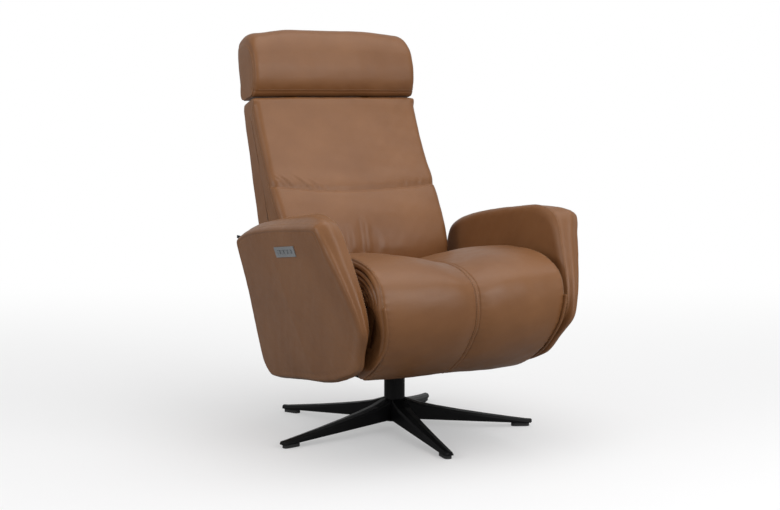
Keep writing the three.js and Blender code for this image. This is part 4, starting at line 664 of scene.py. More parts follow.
def stitch_tree():
    """Geometry nodes that lay stitches end to end along edges."""
    known = bpy.data.node_groups.get("Stitches along seams")
    if known:
        return known
    tree = bpy.data.node_groups.new("Stitches along seams", "GeometryNodeTree")
    for title, kind, default in (
        ("Seams", "Geometry", None), ("Pitch", "Float", 0.006), ("Length", "Float", 0.004),
        ("Thickness", "Float", 0.001), ("Seed", "Int", 7), ("Thread", "Material", None),
    ):
        socket = tree.interface.new_socket(title, in_out="INPUT", socket_type=f"NodeSocket{kind}")
        if default is not None:
            socket.default_value = default
    tree.interface.new_socket("Stitches", in_out="OUTPUT", socket_type="NodeSocketGeometry")
    given = tree.nodes.new("NodeGroupInput").outputs

    def step(kind, inputs, **settings):
        return add_node(tree, kind, inputs, **settings).outputs

    curve = step("GeometryNodeMeshToCurve", {0: given["Seams"]})
    pitch = given["Pitch"]
    cuts = step("GeometryNodeResampleCurve", {"Curve": curve[0], "Length": pitch}, mode="LENGTH")
    points = step("GeometryNodeCurveToPoints", {0: cuts[0]}, mode="EVALUATED")
    ball = step("GeometryNodeMeshUVSphere", {"Segments": 6, "Rings": 4, "Radius": 0.5})
    thick = given["Thickness"]
    size = step("ShaderNodeCombineXYZ", {0: thick, 1: thick, 2: given["Length"]})
    shape = step("GeometryNodeTransform", {0: ball[0], "Scale": size[0]})
    sway = {0: (-STITCH_SWAY,) * 3, 1: (STITCH_SWAY,) * 3, "Seed": given["Seed"]}
    turn = step("FunctionNodeRandomValue", sway, data_type="FLOAT_VECTOR")
    laid = step("GeometryNodeInstanceOnPoints", {
        "Points": points["Points"], "Instance": shape[0], "Rotation": points["Rotation"],
    })
    swayed = step("GeometryNodeRotateInstances", {"Instances": laid[0], "Rotation": turn[0]})
    real = step("GeometryNodeRealizeInstances", {0: swayed[0]})
    thread = step("GeometryNodeSetMaterial", {"Geometry": real[0], "Material": given["Thread"]})
    tree.links.new(thread[0], tree.nodes.new("NodeGroupOutput").inputs[0])
    return tree


def thread_finish():
    stitching = bpy.context.scene.recliner_stitching
    colour = tuple(stitching.colour)
    return plain_finish("Waxed thread", colour, tuple(c * 0.7 for c in colour), 2600.0, 0.0001, 0.6)


def stitches(name, seams):
    """One mesh with the stitches of several seams, each a run of points in millimetres."""
    points, edges = [], []
    for seam in seams:
        start = len(points)
        points.extend(to_row(seam))
        edges.extend((start + i, start + i + 1) for i in range(len(seam) - 1))
    piece = link_mesh(name, points, [], edges)
    stitching = bpy.context.scene.recliner_stitching
    modifier = piece.modifiers.new("Stitches", "NODES")
    modifier.node_group = stitch_tree()
    values = {
        "Pitch": stitching.pitch, "Length": stitching.length, "Thickness": stitching.thickness,
        "Seed": stitching.seed, "Thread": thread_finish(),
    }
    for item in modifier.node_group.interface.items_tree:
        if item.in_out == "INPUT" and item.name in values:
            modifier[item.identifier] = values[item.name]
    return apply_modifiers(piece)


# ---- seat and leg rest

SEAT_LINE = smooth_line(
    [(reach * SEAT_REACH, height * SEAT_HEIGHT) for reach, height in SEAT_LINE_SHARES], 1201,
)
SEAT_RUN = lengths_along(SEAT_LINE)
SEAT_NORMALS = line_normals(SEAT_LINE)


def seat_at(run):
    """Places and outward normals of the seat line at distances along it."""
    place = np.stack([np.interp(run, SEAT_RUN, SEAT_LINE[:, k]) for k in (0, 1)], axis=-1)
    normal = np.stack([np.interp(run, SEAT_RUN, SEAT_NORMALS[:, k]) for k in (0, 1)], axis=-1)
    return place, normal / np.linalg.norm(normal, axis=-1, keepdims=True)


def run_where(test):
    return SEAT_RUN[np.array([test(y, z) for y, z in SEAT_LINE])]


NARROW_RUN = float(run_where(lambda y, z: y < -SEAT_REACH / 2)[0])
NOSE_RUN = float(run_where(lambda y, z: y < -388 and z > 440)[0])
CREASE_RUN = float(run_where(lambda y, z: z < CREASE_Z)[0])
LOW_RUN = float(SEAT_RUN[-1])


def width_at(z):
    """Share of its full width that the leather has at a height: the leg rest narrows downwards."""
    share = np.clip((z - SEAT_NARROWS_TO) / (SEAT_NARROWS_BELOW - SEAT_NARROWS_TO), 0, 1)
    return SEAT_LOW_HALF_WIDTH / SEAT_HALF_WIDTH * (1 - share) + share


def seat_point(run, x, sink):
    """Points of the leather at distances along the line and stations across, sunk by sink."""
    place, normal = seat_at(run)
    y = place[..., 0] - normal[..., 0] * sink
    z = place[..., 1] - normal[..., 1] * sink
    forward = np.clip(-place[..., 0] / SEAT_REACH, 0, 1)
    y = y + SEAT_FRONT_BOW * forward**4 * (x / SEAT_HALF_WIDTH) ** 2
    return np.stack([x * width_at(place[..., 1]), y, z], axis=-1)


def channel(run, x):
    """Depth of the channel between the seat's halves: broad on the seat, narrow over the nose."""
    share = np.clip((run - NARROW_RUN) / (CREASE_RUN - NARROW_RUN), 0, 1)
    depth = SEAT_CHANNEL[0] + (SEAT_CHANNEL_LOW[0] - SEAT_CHANNEL[0]) * share
    half = SEAT_CHANNEL[1] + (SEAT_CHANNEL_LOW[1] - SEAT_CHANNEL[1]) * share
    fade = 1 - ease(LOW_RUN - 210, LOW_RUN - 25, run)
    return (depth * bell(x, half) + SEAT_SEAM[0] * bell(x, SEAT_SEAM[1])) * fade


def seat_form(run, x, puff=0.0):
    """How far the leather lies under the crowned line."""
    half = np.abs(x) / SEAT_HALF_WIDTH
    crown = puff * np.sin(np.clip((half - 0.08) / 0.86, 0, 1) * math.pi) ** 1.5
    return channel(run, x) + edge_drop(x, SEAT_HALF_WIDTH, SEAT_EDGE_ROUND) * 0.97 - crown


def seat_detail(run, x, base):
    """Seams, puckers and the hide's own unevenness on the seat's skin."""
    seam = padding("seam_depth")
    fade = 1 - ease(LOW_RUN - 150, LOW_RUN - 20, run)
    felled = 1.5 * bell(np.abs(x), 3.6) - seam * (bell(np.abs(x) - 5.4, 1.5))
    side = -0.5 * seam * bell(np.abs(x) - SEAT_SIDE_SEAM, 1.4) + 0.4 * bell(np.abs(x) - 251.0, 3.0)
    wave = np.sin(run * 2 * math.pi / 21 + 2.4 * np.sin(run / 37.0) + np.sign(x) * 1.1)
    drawn = padding("pucker") * wave * (
        bell(np.abs(x) - 11, 9.0) * 0.3 * fade + bell(np.abs(x) - 249, 8.0) * 0.45
    )
    slow = 0.9 * ripple(base, 150.0, 3) + 0.35 * ripple(base, 52.0, 4)
    settle = 2.2 * bell(np.abs(x) - 120, 80.0) * bell(run - 60, 60.0)
    return (felled * (0.35 + 0.65 * fade)) + side + drawn + slow - settle + valley_folds(run, x)


# Place along the line, reach to the left, slant and depth of each fold
VALLEY_FOLDS = ((190, 46, 0.5, 2.2), (216, 60, 0.35, 2.6), (243, 44, 0.15, 1.8))


def valley_folds(run, x):
    """Short folds that the centre seam draws from the full left half of the seat."""
    total = np.zeros(np.broadcast(run, x).shape)
    for place, far, slant, depth in VALLEY_FOLDS:
        line = place - slant * (x - 14)
        body = ease(10, 22, x) * (1 - ease(far * 0.6, far + 14, x))
        total += depth * body * (bell(run - line - 4.5, 4.5) - bell(run - line + 4.0, 4.0))
    return total


def hem(edge, normal, side):
    """A rolled hem: the skin's edge turned down past the seam, outermost point first."""
    folds = []
    for fall, out in ((5.0, -0.8), (3.0, 0.3), (1.2, 0.4)):
        fold = edge.copy()
        fold[:, 0] += side * out
        fold[:, 1:] -= normal * fall
        folds.append(fold)
    return np.stack(folds, 1)


def hemmed(sheet, left, right, normal):
    """The sheet with hems hung on its left and right edges."""
    return np.concatenate([hem(left, normal, -1), sheet, hem(right, normal, 1)[:, ::-1]], axis=1)


def seat_surface(run, x):
    """The leather's plain form on a grid, the side of it that faces outwards, and its detail."""
    runs, stations = np.meshgrid(run, x, indexing="ij")
    base = seat_point(runs, stations, seat_form(runs, stations, padding("seat_puff")))
    outward = 1.0 if grid_normals(base)[3, len(x) // 2, 2] > 0 else -1.0
    return base, outward, seat_detail(runs, stations, base)


def seat_skin():
    """The one run of leather over seat, nose and leg rest."""
    marks = (-SEAT_SIDE_SEAM, SEAT_SIDE_SEAM, 0.0)
    x = spaced(-SEAT_SKIN_EDGE, SEAT_SKIN_EDGE, 7.0, marks=marks, near=0.9, reach=22)
    run = np.linspace(0, LOW_RUN, 210)
    base, outward, detail = seat_surface(run, x)
    outer = proud_grid(base, detail, outward=outward)
    inner = proud_grid(base, np.full(detail.shape, -SEAT_SKIN), outward=outward)
    normal = seat_at(run)[1]
    inset = np.array([SIDE_THICKNESS, 0, 0])
    return closed_sheet(
        "seat_leather", hemmed(outer, outer[:, 0], outer[:, -1], normal),
        hemmed(inner, inner[:, 0] + inset, inner[:, -1] - inset, normal),
    )


def seat_seam(x, start, end):
    """A run of points just above the leather at a station across the seat."""
    around = x + np.array([-0.8, 0.0, 0.8])
    base, outward, detail = seat_surface(np.linspace(start, end, 400), around)
    return proud_grid(base, detail + SEAT_THREAD_LIFT, outward=outward)[:, 1]


def legrest_place(along, off):
    return np.array([
        CREASE_Y + along * math.cos(LEGREST_SLOPE) + off * math.sin(LEGREST_SLOPE),
        CREASE_Z - along * math.sin(LEGREST_SLOPE) + off * math.cos(LEGREST_SLOPE),
    ])


def padded_block(name, outline, stations, insets):
    """A closed pad: one side-view outline carried across at stations, drawn in by insets."""
    normals = outward_normals(outline, outline.mean(0))
    rings = []
    for x, inset in zip(stations, insets):
        ring = outline - normals * inset
        rings.append(np.column_stack([np.full(len(ring), x), ring]))
    return closed_tube(name, np.array(rings))


def side_stations(half_width, radius, steps=5):
    """Stations across a pad and how far its outline draws in at each."""
    turns = np.linspace(0, math.pi / 2, steps)
    edge = half_width - radius + radius * np.sin(turns)
    inset = radius * (1 - np.cos(turns))
    x = np.concatenate([-edge[::-1], [-half_width / 3, half_width / 3], edge])
    return x, np.concatenate([inset[::-1], [0, 0], inset])


def pad_under_skin(name, run, tail):
    """A closed pad whose upper side lies just under the skin; tail is its underside."""
    stations = spaced(-PAD_HALF_WIDTH, PAD_HALF_WIDTH, 16.0, marks=(-250.0, 250.0), near=2.5, reach=30)
    rings = []
    for x in stations:
        across = np.full(run.shape, x)
        top = seat_point(run, across, seat_form(run, across) + SEAT_SKIN + 1.0)
        drawn = np.column_stack([x * width_at(tail[:, 1]), tail])
        rings.append(np.concatenate([top, drawn]))
    return closed_tube(name, np.array(rings))


def seat_body():
    """The seat's pad under the skin, with its closed sides."""
    foot = smooth_line([
        (-376, 446), (-352, 424), (-345, 411), (-330, CUSHION_STEP), (-316, CUSHION_STEP),
        (-306, 396), (-296, CUSHION_FOOT + 2), (-200, CUSHION_FOOT), (-60, CUSHION_FOOT),
        (60, CUSHION_FOOT), (112, CUSHION_FOOT), (128, CUSHION_FOOT + 4),
    ], 60)
    return pad_under_skin("seat_cushion_body", np.linspace(10, NOSE_RUN - 12, 70), foot)


def legrest_body():
    """The leg rest's pad under the skin, wrapped round the board's edges."""
    skin = LEGREST_BOARD_SKIN
    tail = np.array([legrest_place(along, off) for along, off in (
        (LEGREST_BOARD_END + 9, -4), (LEGREST_BOARD_END + 4, skin), (200, skin), (120, skin),
        (60, skin), (LEGREST_BOARD_START + 4, skin),
    )])
    return pad_under_skin("legrest_cushion_body", np.linspace(NOSE_RUN + 84, LOW_RUN - 2, 70), tail)


# Side gussets of the fold: how far they reach along the seat's line before and after the nose,
# where their edge lies, the place that the pleats run towards, and the number of pleats
GUSSET_BEFORE = 190
GUSSET_AFTER = 200
GUSSET_STATION = 259.0
GUSSET_SINK = 20.0
GUSSET_FOCUS = (-338.0, 402.0)
GUSSET_PLEATS = 5.2


def side_sheet(name, side, outer):
    """A closed skin from the grid of its outer face, thick towards the chair's middle."""
    return closed_sheet(name, outer, outer - np.array([side * SIDE_THICKNESS, 0, 0]))


def crease_gusset(side, name):
    """Pleated leather that closes the side of the fold between seat and leg rest."""
    start, end = NOSE_RUN - GUSSET_BEFORE, NOSE_RUN + GUSSET_AFTER
    run = np.linspace(start, end, 150)
    depth = np.linspace(0, 1, 96)
    grid_run, grid_depth = np.meshgrid(run, depth, indexing="ij")
    through = (grid_run - start) / (end - start)
    edge = seat_point(grid_run, np.full(grid_run.shape, GUSSET_STATION), GUSSET_SINK)
    fan = np.sin(np.clip(through, 0, 1) * math.pi) ** 0.6
    towards = np.array(GUSSET_FOCUS) - edge[..., 1:]
    reach = np.linalg.norm(towards, axis=-1, keepdims=True)
    travel = np.minimum(8 + 92.0 * fan, reach[..., 0] * 0.94) * grid_depth
    place = edge[..., 1:] + towards / np.maximum(reach, 1e-6) * travel[..., None]
    turns = grid_depth * GUSSET_PLEATS + 0.3 * np.sin(through * 6.0) * grid_depth
    fold = np.abs(np.sin(turns * math.pi)) ** 0.7 * (1 - 0.75 * ease(0.55, 0.85, through))
    rise = 3.0 * fan * ease(0.0, 0.25, grid_depth)
    crush = 1.2 * np.sin(through * 31 + grid_depth * 9) * fan * grid_depth
    outer_x = edge[..., 0] + 0.6 + rise + 4.6 * fold * fan + crush
    outer = np.stack([side * outer_x, place[..., 0], place[..., 1]], axis=-1)
    return side_sheet(name, side, outer)


# The leg rest's side panels: where they lie, the least that they keep from the middle, how far
# below the leather they start, and their rear edge from the top to the low end
SIDE_PANEL_STATION = 256.4
SIDE_PANEL_LEAST = 239.6
SIDE_PANEL_SINK = 5.0
SIDE_PANEL_REAR = [
    (-338, 392), (-325, 370), (-310, 348), (-280, 300), (-258, 264), (-243, 238), (-235, 218),
    (-240, 205), (-254, 199),
]


def legrest_side(side, name):
    """Leather that closes the leg rest's side and reaches on behind its board."""
    front = seat_at(np.linspace(NOSE_RUN + 96, LOW_RUN - 3, 60))
    front = front[0] - front[1] * SIDE_PANEL_SINK
    rear = smooth_line(SIDE_PANEL_REAR, 60)
    share = np.linspace(0, 1, 18)[None, :, None]
    place = front[:, None] * (1 - share) + rear[:, None] * share
    z = place[..., 1]
    across = np.maximum(SIDE_PANEL_STATION * width_at(z), SIDE_PANEL_LEAST)
    across = np.minimum(across, arm_inner(z) - 2.0)
    across -= 1.5 * ease(0.85, 1.0, share[..., 0])
    outer = np.stack([side * across, place[..., 0], z], axis=-1)
    outer[..., 0] += side * 0.3 * ripple(outer, 60.0, 8)
    return side_sheet(name, side, outer)


# The way down the fold's bend zone from the crease. bend_with_legrest below does not bend the
# leather: it only fixes each piece's placement in its mesh
BEND_WAY = (-math.cos(math.radians(50)), -math.sin(math.radians(50)))


def bend_with_legrest(piece):
    def place(reach):
        return to_row([0.0, CREASE_Y + BEND_WAY[0] * reach, CREASE_Z + BEND_WAY[1] * reach])

    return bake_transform(piece)


# ---- arms


def closed_line(shares, start, size, count):
    """A closed smooth outline from shares, as evenly spaced points."""
    places = [(start[0] + a * size[0], start[1] + b * size[1]) for a, b in [*shares, shares[0]]]
    return smooth_line(places, count + 1)[:-1]


def arm_outer(z):
    return ARM_TOP_HALF_WIDTH - ARM_OUTER_LEAN * (ARM_FOOT + ARM_HEIGHT - z)


def arm_inner(z):
    above = z - ARM_KNEE_HEIGHT
    return ARM_KNEE_WIDTH + above * np.where(above > 0, ARM_INNER_LEAN_ABOVE, ARM_INNER_LEAN_BELOW)


def arm_skin(place, through, proud):
    """Points of the arm: through runs from the outer face, 0, to the inner one, 1."""
    y, z = place[..., 0], place[..., 1]
    top = np.clip((z - ARM_KNEE_HEIGHT) / (ARM_FOOT + ARM_HEIGHT - ARM_KNEE_HEIGHT), 0, None)
    arch = ease(ARM_RISE_END_Y, ARM_RISE_FULL_Y, y)
    lifted = z + ARM_INNER_RISE * arch * through * top**2
    # The outer faces stand a little closer together in front than at the rear
    flare = np.interp(y, (ARM_REAR - ARM_LENGTH, ARM_REAR), ARM_FLARE)
    x = (arm_outer(z) + flare + proud) * (1 - through) + (arm_inner(lifted) - proud) * through
    return np.stack([x, y, lifted], axis=-1)


ARM_LINE = closed_line(ARM_LINE_SHARES, (ARM_REAR, ARM_FOOT), (-ARM_LENGTH, ARM_HEIGHT), 420)
ARM_MIDDLE = ARM_LINE.mean(0)
ARM_SOFTNESS = 5.5


def worn_round(line, softness):
    """A closed line smoothed along its run; softness in steps of the line."""
    steps = np.arange(len(line))
    steps = np.minimum(steps, len(line) - steps)
    weights = np.fft.fft(bell(steps, softness * math.sqrt(2)))
    weights = weights / weights[0]
    return np.stack([np.fft.ifft(np.fft.fft(line[:, k]) * weights).real for k in (0, 1)], axis=1)


# The same outline with its corners worn round, which the inner edge of the arm follows
ARM_SOFT_LINE = worn_round(ARM_LINE, ARM_SOFTNESS)


def moved_near(line, corner, share):
    """A line pushed by a share of a corner's own move, fading with the distance from it."""
    place, way, far, reach = corner
    near = bell(np.linalg.norm(line - np.array(place), axis=1), reach)
    return line + np.array(way) * (far * share * near)[:, None]


def arm_line_at(through):
    """The arm's outline at a share of the way to its inner face."""
    soft = 0.9 * float(ease(0.12, 0.97, through))
    line = ARM_LINE * (1 - soft) + ARM_SOFT_LINE * soft
    line = moved_near(line, ARM_LOW_CORNER, float(ease(0.1, 1.0, through)))
    return moved_near(line, ARM_HIGH_CORNER, math.sin(math.pi * min(max(through, 0.0), 1.0)) ** 0.8)


def drawn_in(line, inset):
    """The line moved inwards by inset, with its corners kept from folding over."""
    for _ in range(4):
        line = worn_round(line, 0.3 + 0.1 * float(np.mean(inset)))
        line = line - outward_normals(line, ARM_MIDDLE) * (inset / 4)[:, None]
    return line


ARM_OUTER_ROUND = 9.0
ARM_INNER_ROUND = 21.0
ARM_THICKNESS = 92.0
ARM_FRONT_ROUND = 1.1
ARM_BELLY = 5.5
# Each thread's distance from the outer face, its lowest height and its foremost place
ARM_THREADS = ((15.0, 495.0, -300.0), (ARM_THICKNESS - 12.0, 235.0, -1000.0))


def arm_stations():
    """Rows (through, inset, share of the outline) from the outer face's middle to the inner's."""
    rows = [(0.0, ARM_OUTER_ROUND + 2, share) for share in np.linspace(0.02, 0.93, 34)]
    rows += [(0.0, ARM_OUTER_ROUND + extra, 1.0) for extra in (8, 4, 1.5)]
    for turn in np.linspace(0, math.pi / 2, 12):
        through = ARM_OUTER_ROUND * (1 - math.cos(turn)) / ARM_THICKNESS
        rows.append((through, ARM_OUTER_ROUND * (1 - math.sin(turn)), 1.0))
    first, last = ARM_OUTER_ROUND / ARM_THICKNESS, 1 - ARM_INNER_ROUND / ARM_THICKNESS
    for share in np.linspace(0, 1, 22)[1:-1]:
        belly = -ARM_BELLY * math.sin(share * math.pi) ** 1.5
        rows.append((first + (last - first) * share, belly, 1.0))
    for turn in np.linspace(0, math.pi / 2, 12):
        through = 1 - ARM_INNER_ROUND * (1 - math.sin(turn)) / ARM_THICKNESS
        rows.append((through, ARM_INNER_ROUND * (1 - math.cos(turn)), 1.0))
    rows += [(1.0, ARM_INNER_ROUND + extra, 1.0) for extra in (1.5, 5)]
    rows += [(1.0, ARM_INNER_ROUND + 2, share) for share in np.linspace(0.93, 0.02, 24)]
    return rows


def arm_base_ring(through, inset, share):
    line = arm_line_at(through)
    # The front edge is rounder than the top
    wider = 1 + ARM_FRONT_ROUND * ease(-295, -345, line[:, 0])
    first = ARM_OUTER_ROUND / ARM_THICKNESS
    outside = through <= first
    if outside:
        place = drawn_in(line, inset * wider)
    else:
        place = line - outward_normals(line, ARM_MIDDLE) * inset
    if share < 1:
        place = ARM_MIDDLE + (place - ARM_MIDDLE) * share
    if not outside:
        return arm_skin(place, 1 - (1 - through) * (1 - first * wider) / (1 - first), 0.0)
    reach = (place - ARM_MIDDLE) / np.array([ARM_LENGTH, ARM_HEIGHT])
    crown = ARM_PANEL_CROWN * (1 - share**6) * np.clip(1 - 2.4 * (reach**2).sum(axis=1), 0, 1)
    return arm_skin(place, through * wider, crown)


def arm_crease(grid):
    """Height of the slight break that runs down the outer panel."""
    top, low = np.array(ARM_CREASE_TOP), np.array(ARM_CREASE_LOW)
    way = (low - top) / np.linalg.norm(low - top)
    off = (grid[..., 1] - top[0]) * way[1] - (grid[..., 2] - top[1]) * way[0]
    down = (grid[..., 1] - top[0]) * way[0] + (grid[..., 2] - top[1]) * way[1]
    ridge = ARM_CREASE_RISE * np.exp(-np.sqrt(off**2 + 60) / ARM_CREASE_REACH)
    return ridge * ease(-30, 70, down) * (1 - ease(270, 400, down))


def arm_grid():
    """The arm's leather on the sitter's left, and the station of each of its rings."""
    rows = arm_stations()
    base = np.array([arm_base_ring(*row) for row in rows])
    outward = 1.0 if grid_normals(base, True)[2, 0, 0] > 0 else -1.0
    seam, pucker = padding("seam_depth"), padding("pucker")
    run = np.linspace(0, 2100, len(ARM_LINE), endpoint=False)
    amount = np.zeros(base.shape[:2])
    for i, (through, inset, share) in enumerate(rows):
        on_top = ease(-325, -300, base[i][:, 1]) * ease(430, 475, base[i][:, 2])
        amount[i] += 0.5 * ripple(base[i], 120.0, 11) + 0.22 * ripple(base[i], 38.0, 12)
        if through == 0:
            amount[i] += arm_crease(base[i]) * (share < 1)
            if share == 1.0:
                amount[i] -= seam * 0.7 * bell(inset - ARM_OUTER_ROUND - 1.5, 1.6) * on_top
            wave = np.sin(run * 2 * math.pi / 26 + 1.7 * np.sin(run / 61))
            gap = inset if share == 1.0 else inset + (1 - share) * 230
            amount[i] += 0.1 * pucker * wave * bell(gap - 16, 9.0)
        else:
            off = through * ARM_THICKNESS
            amount[i] += 0.8 * bell(off - 13, 5.0) * on_top
            amount[i] -= seam * 0.12 * bell(off - (ARM_THICKNESS - 7), 2.2)
            amount[i] += 0.3 * bell(off - (ARM_THICKNESS - 13), 4.0)
    return proud_grid(base, amount, closed_across=True, outward=outward), rows


def arm_seams(grid, rows, side):
    """Runs of points for the thread: along the outer panel's edge and the inner edge."""
    seams = []
    lifts = grid_normals(grid, True)
    for off, low, front in ARM_THREADS:
        order = run_of((ARM_LINE[:, 1] > low) & (ARM_LINE[:, 0] < 262) & (ARM_LINE[:, 0] > front))
        row = int(np.argmin([abs(t * ARM_THICKNESS - off) + (s < 1) * 999 for t, _, s in rows]))
        lift = lifts[row] * np.sign((lifts[row] * (grid[row] - grid.mean(axis=(0, 1)))).sum())
        line = even_steps((grid[row] + lift * THREAD_LIFT)[order], 700)
        line[:, 0] *= side
        seams.append(line)
    return seams


# ---- back


def back_place(along, off):
    along, off = np.asarray(along, float), np.asarray(off, float)
    return np.stack([
        RECLINE_Y + along * math.sin(BACK_LEAN) + off * math.cos(BACK_LEAN),
        RECLINE_Z + along * math.cos(BACK_LEAN) - off * math.sin(BACK_LEAN),
    ], axis=-1)


BACK_TOP_ROUND = 15.0
BACK_REAR_ROUND = 18.0


def back_front():
    """Places up the front of the back, from its shares."""
    length = BACK_LENGTH - BACK_FOOT
    return np.array([
        (BACK_FOOT + up * length, -depth * BACK_DEPTH) for up, depth in BACK_FRONT_SHARES
    ])


def back_outline():
    """The back in side view: along and off places, up the front and down the rear."""
    front = smooth_line(back_front(), 200)
    keep = front[front[:, 0] < BACK_LENGTH - BACK_TOP_ROUND]
    turns = np.linspace(0, math.pi / 2, 14)[1:]
    rise, turn = np.sin(turns), 1 - np.cos(turns)
    crown = keep[-1] + BACK_TOP_ROUND * np.stack([rise, turn], axis=1)
    over = np.stack([
        BACK_LENGTH - BACK_REAR_ROUND * turn, BACK_REAR - BACK_REAR_ROUND * (1 - rise),
    ], axis=1)
    flat = np.linspace(crown[-1], over[0], 12)[1:-1]
    rear = smooth_line([
        over[-1], (BACK_LENGTH * 0.75, BACK_REAR + 3.0), (BACK_LENGTH * 0.4, BACK_REAR + 4.0),
        (BACK_FOOT + 10, BACK_REAR),
    ], 120)[1:]
    foot = [(BACK_FOOT, BACK_REAR - 10), (BACK_FOOT, 0.0), (BACK_FOOT, -50.0), (BACK_FOOT + 2, -78.0)]
    return np.concatenate([keep, crown, flat, over, rear, foot])


def rounded_stations(half_width, round_off, step, turns, past, shares, bulge):
    """Stations across a pad: (x, inset, share), with round corners and near flat sides."""
    side = [
        (half_width - round_off * (1 - math.sin(t)), round_off * (1 - math.cos(t)), 1.0)
        for t in np.linspace(0, math.pi / 2, turns)[1:]
    ]
    side += [(half_width, round_off + extra, 1.0) for extra in past]
    side += [(half_width + bulge, round_off + past[-1], share) for share in shares]
    inner = spaced(-(half_width - round_off), half_width - round_off, step)
    mirrored = [(-x, inset, share) for x, inset, share in reversed(side)]
    return mirrored + [(x, 0.0, 1.0) for x in inner] + side


def back_stations():
    past, shares = (1.2, 2.4, 3.6, 6.0, 9.0), (0.85, 0.65, 0.45, 0.25, 0.05)
    return rounded_stations(BACK_HALF_WIDTH, BACK_EDGE_ROUND, 6.0, 14, past, shares, 0.4)


def nearest_row(rows, side, inset):
    """Number of the full ring on one side whose inset is nearest to the wanted one."""
    return min(
        (i for i, r in enumerate(rows) if r[2] == 1.0 and r[0] * side > 0),
        key=lambda i: abs(rows[i][1] - inset),
    )


def towards_spine(outline, inset, share):
    """The back's outline drawn in towards its middle line, by a length and then by a share."""
    end = 45.0
    along = np.clip(outline[:, 0], BACK_FOOT + end, BACK_LENGTH - end)
    front = back_front()
    middle = (np.interp(along, front[:, 0], front[:, 1]) + BACK_REAR) / 2
    spine = np.column_stack([along, middle])
    # The sides are rounded in front; their top and rear edges stay square
    rear = 0.75 * ease(8, 34, outline[:, 1])
    top = 0.88 * ease(BACK_LENGTH - 20, BACK_LENGTH - 3, outline[:, 0])
    inset = inset * (1 - np.maximum(rear, top))[:, None]
    reach = np.linalg.norm(outline - spine, axis=1, keepdims=True)
    drawn = outline - (outline - spine) / reach * np.minimum(inset, reach * 0.9)
    return spine + (drawn - spine) * share


def back_grid():
    outline = back_outline()
    rows = back_stations()
    is_front = np.clip((-outline[:, 1] - 8) / 14, 0, 1)
    rings = []
    for x, inset, share in rows:
        ring = towards_spine(outline, inset, share)
        aside = min(abs(x), BACK_HALF_WIDTH) / BACK_HALF_WIDTH
        crown = BACK_CROWN * (1 - aside**2) * (share == 1.0)
        ring = np.column_stack([ring[:, 0], ring[:, 1] - crown * is_front])
        rings.append(np.column_stack([np.full(len(ring), x), back_place(ring[:, 0], ring[:, 1])]))
    return np.array(rings), rows, outline, is_front


def back_seam_at(x):
    """Height along the back of the cross seam, which droops a little in the middle."""
    level = BACK_FOOT + BACK_SEAM_SHARE * (BACK_LENGTH - BACK_FOOT)
    share = x / BACK_HALF_WIDTH
    return level - 10.0 - 2.0 * share - BACK_SEAM_DROOP * (1 - share**2) + 1.5 * np.sin(x / 60.0)


# Place across, reach upwards, slant and depth of each pucker above the cross seam
BACK_PUCKERS = (
    (-216, 34, 0.55, 1.9), (-194, 46, 0.75, 2.6), (-168, 30, 0.35, 1.8), (-146, 50, 0.8, 2.7),
    (-118, 38, 0.6, 2.1), (-92, 28, 0.4, 1.1), (150, 28, -0.4, 0.9), (196, 34, -0.55, 1.2),
)
# Place across, low end, high end and depth of each soft fold in the middle
BACK_LOW_FOLDS = ((-62, 60, 165, 2.0), (-18, 50, 185, 2.6), (30, 55, 130, 1.2))


def back_folds(x, along, seam):
    """Short curved puckers above the cross seam and the soft folds low in the middle."""
    total = np.zeros(np.broadcast(x, along).shape)
    above = along - seam
    for place, reach, slant, depth in BACK_PUCKERS:
        line = place - slant * above - 0.006 * above**2
        body = ease(1, 9, above) * (1 - ease(reach * 0.5, reach, above))
        total += depth * body * (bell(x - line - 4.5, 4.6) - 1.1 * bell(x - line + 3.0, 4.0))
    for place, low, high, depth in BACK_LOW_FOLDS:
        body = ease(low, low + 22, along) * (1 - ease(high - 60, high, along))
        total += depth * body * (bell(x - place - 9, 10.0) - bell(x - place + 5, 8.0))
    return total


def back_leather():
    base, rows, outline, is_front = back_grid()
    outward = 1.0 if grid_normals(base, True)[len(rows) // 2, 60, 1] < 0 else -1.0
    seam_depth = padding("seam_depth")
    along = outline[:, 0]
    amount = np.zeros(base.shape[:2])
    for i, (x, inset, share) in enumerate(rows):
        across = np.full(along.shape, np.clip(x, -BACK_HALF_WIDTH, BACK_HALF_WIDTH))
        amount[i] += 0.7 * ripple(base[i], 140.0, 21) + 0.25 * ripple(base[i], 46.0, 22)
        if share == 1.0 and inset < BACK_EDGE_ROUND:
            seam = back_seam_at(across)
            gap = along - seam
            cross = -3.6 * bell(gap - 2, 9.0) - seam_depth * bell(gap, 1.5)
            cross += 0.9 * bell(gap + 4.5, 3.0)
            fade = 1 - np.clip(inset / BACK_EDGE_ROUND, 0, 1) ** 2
            full = 2.4 * bell(gap - 30, 24.0) + 1.2 * bell(gap + 40, 34.0)
            amount[i] += (cross + full + back_folds(across, along, seam)) * is_front * fade
        if share == 1.0:
            amount[i] -= seam_depth * 0.5 * bell(inset - BACK_EDGE_ROUND - 2.0, 2.0)
            amount[i] += 0.5 * bell(inset - BACK_EDGE_ROUND + 3.0, 4.0) * (inset > 0)
    grid = proud_grid(base, amount, closed_across=True, outward=outward)
    return closed_tube("back_leather", grid), grid, rows, outline, outward


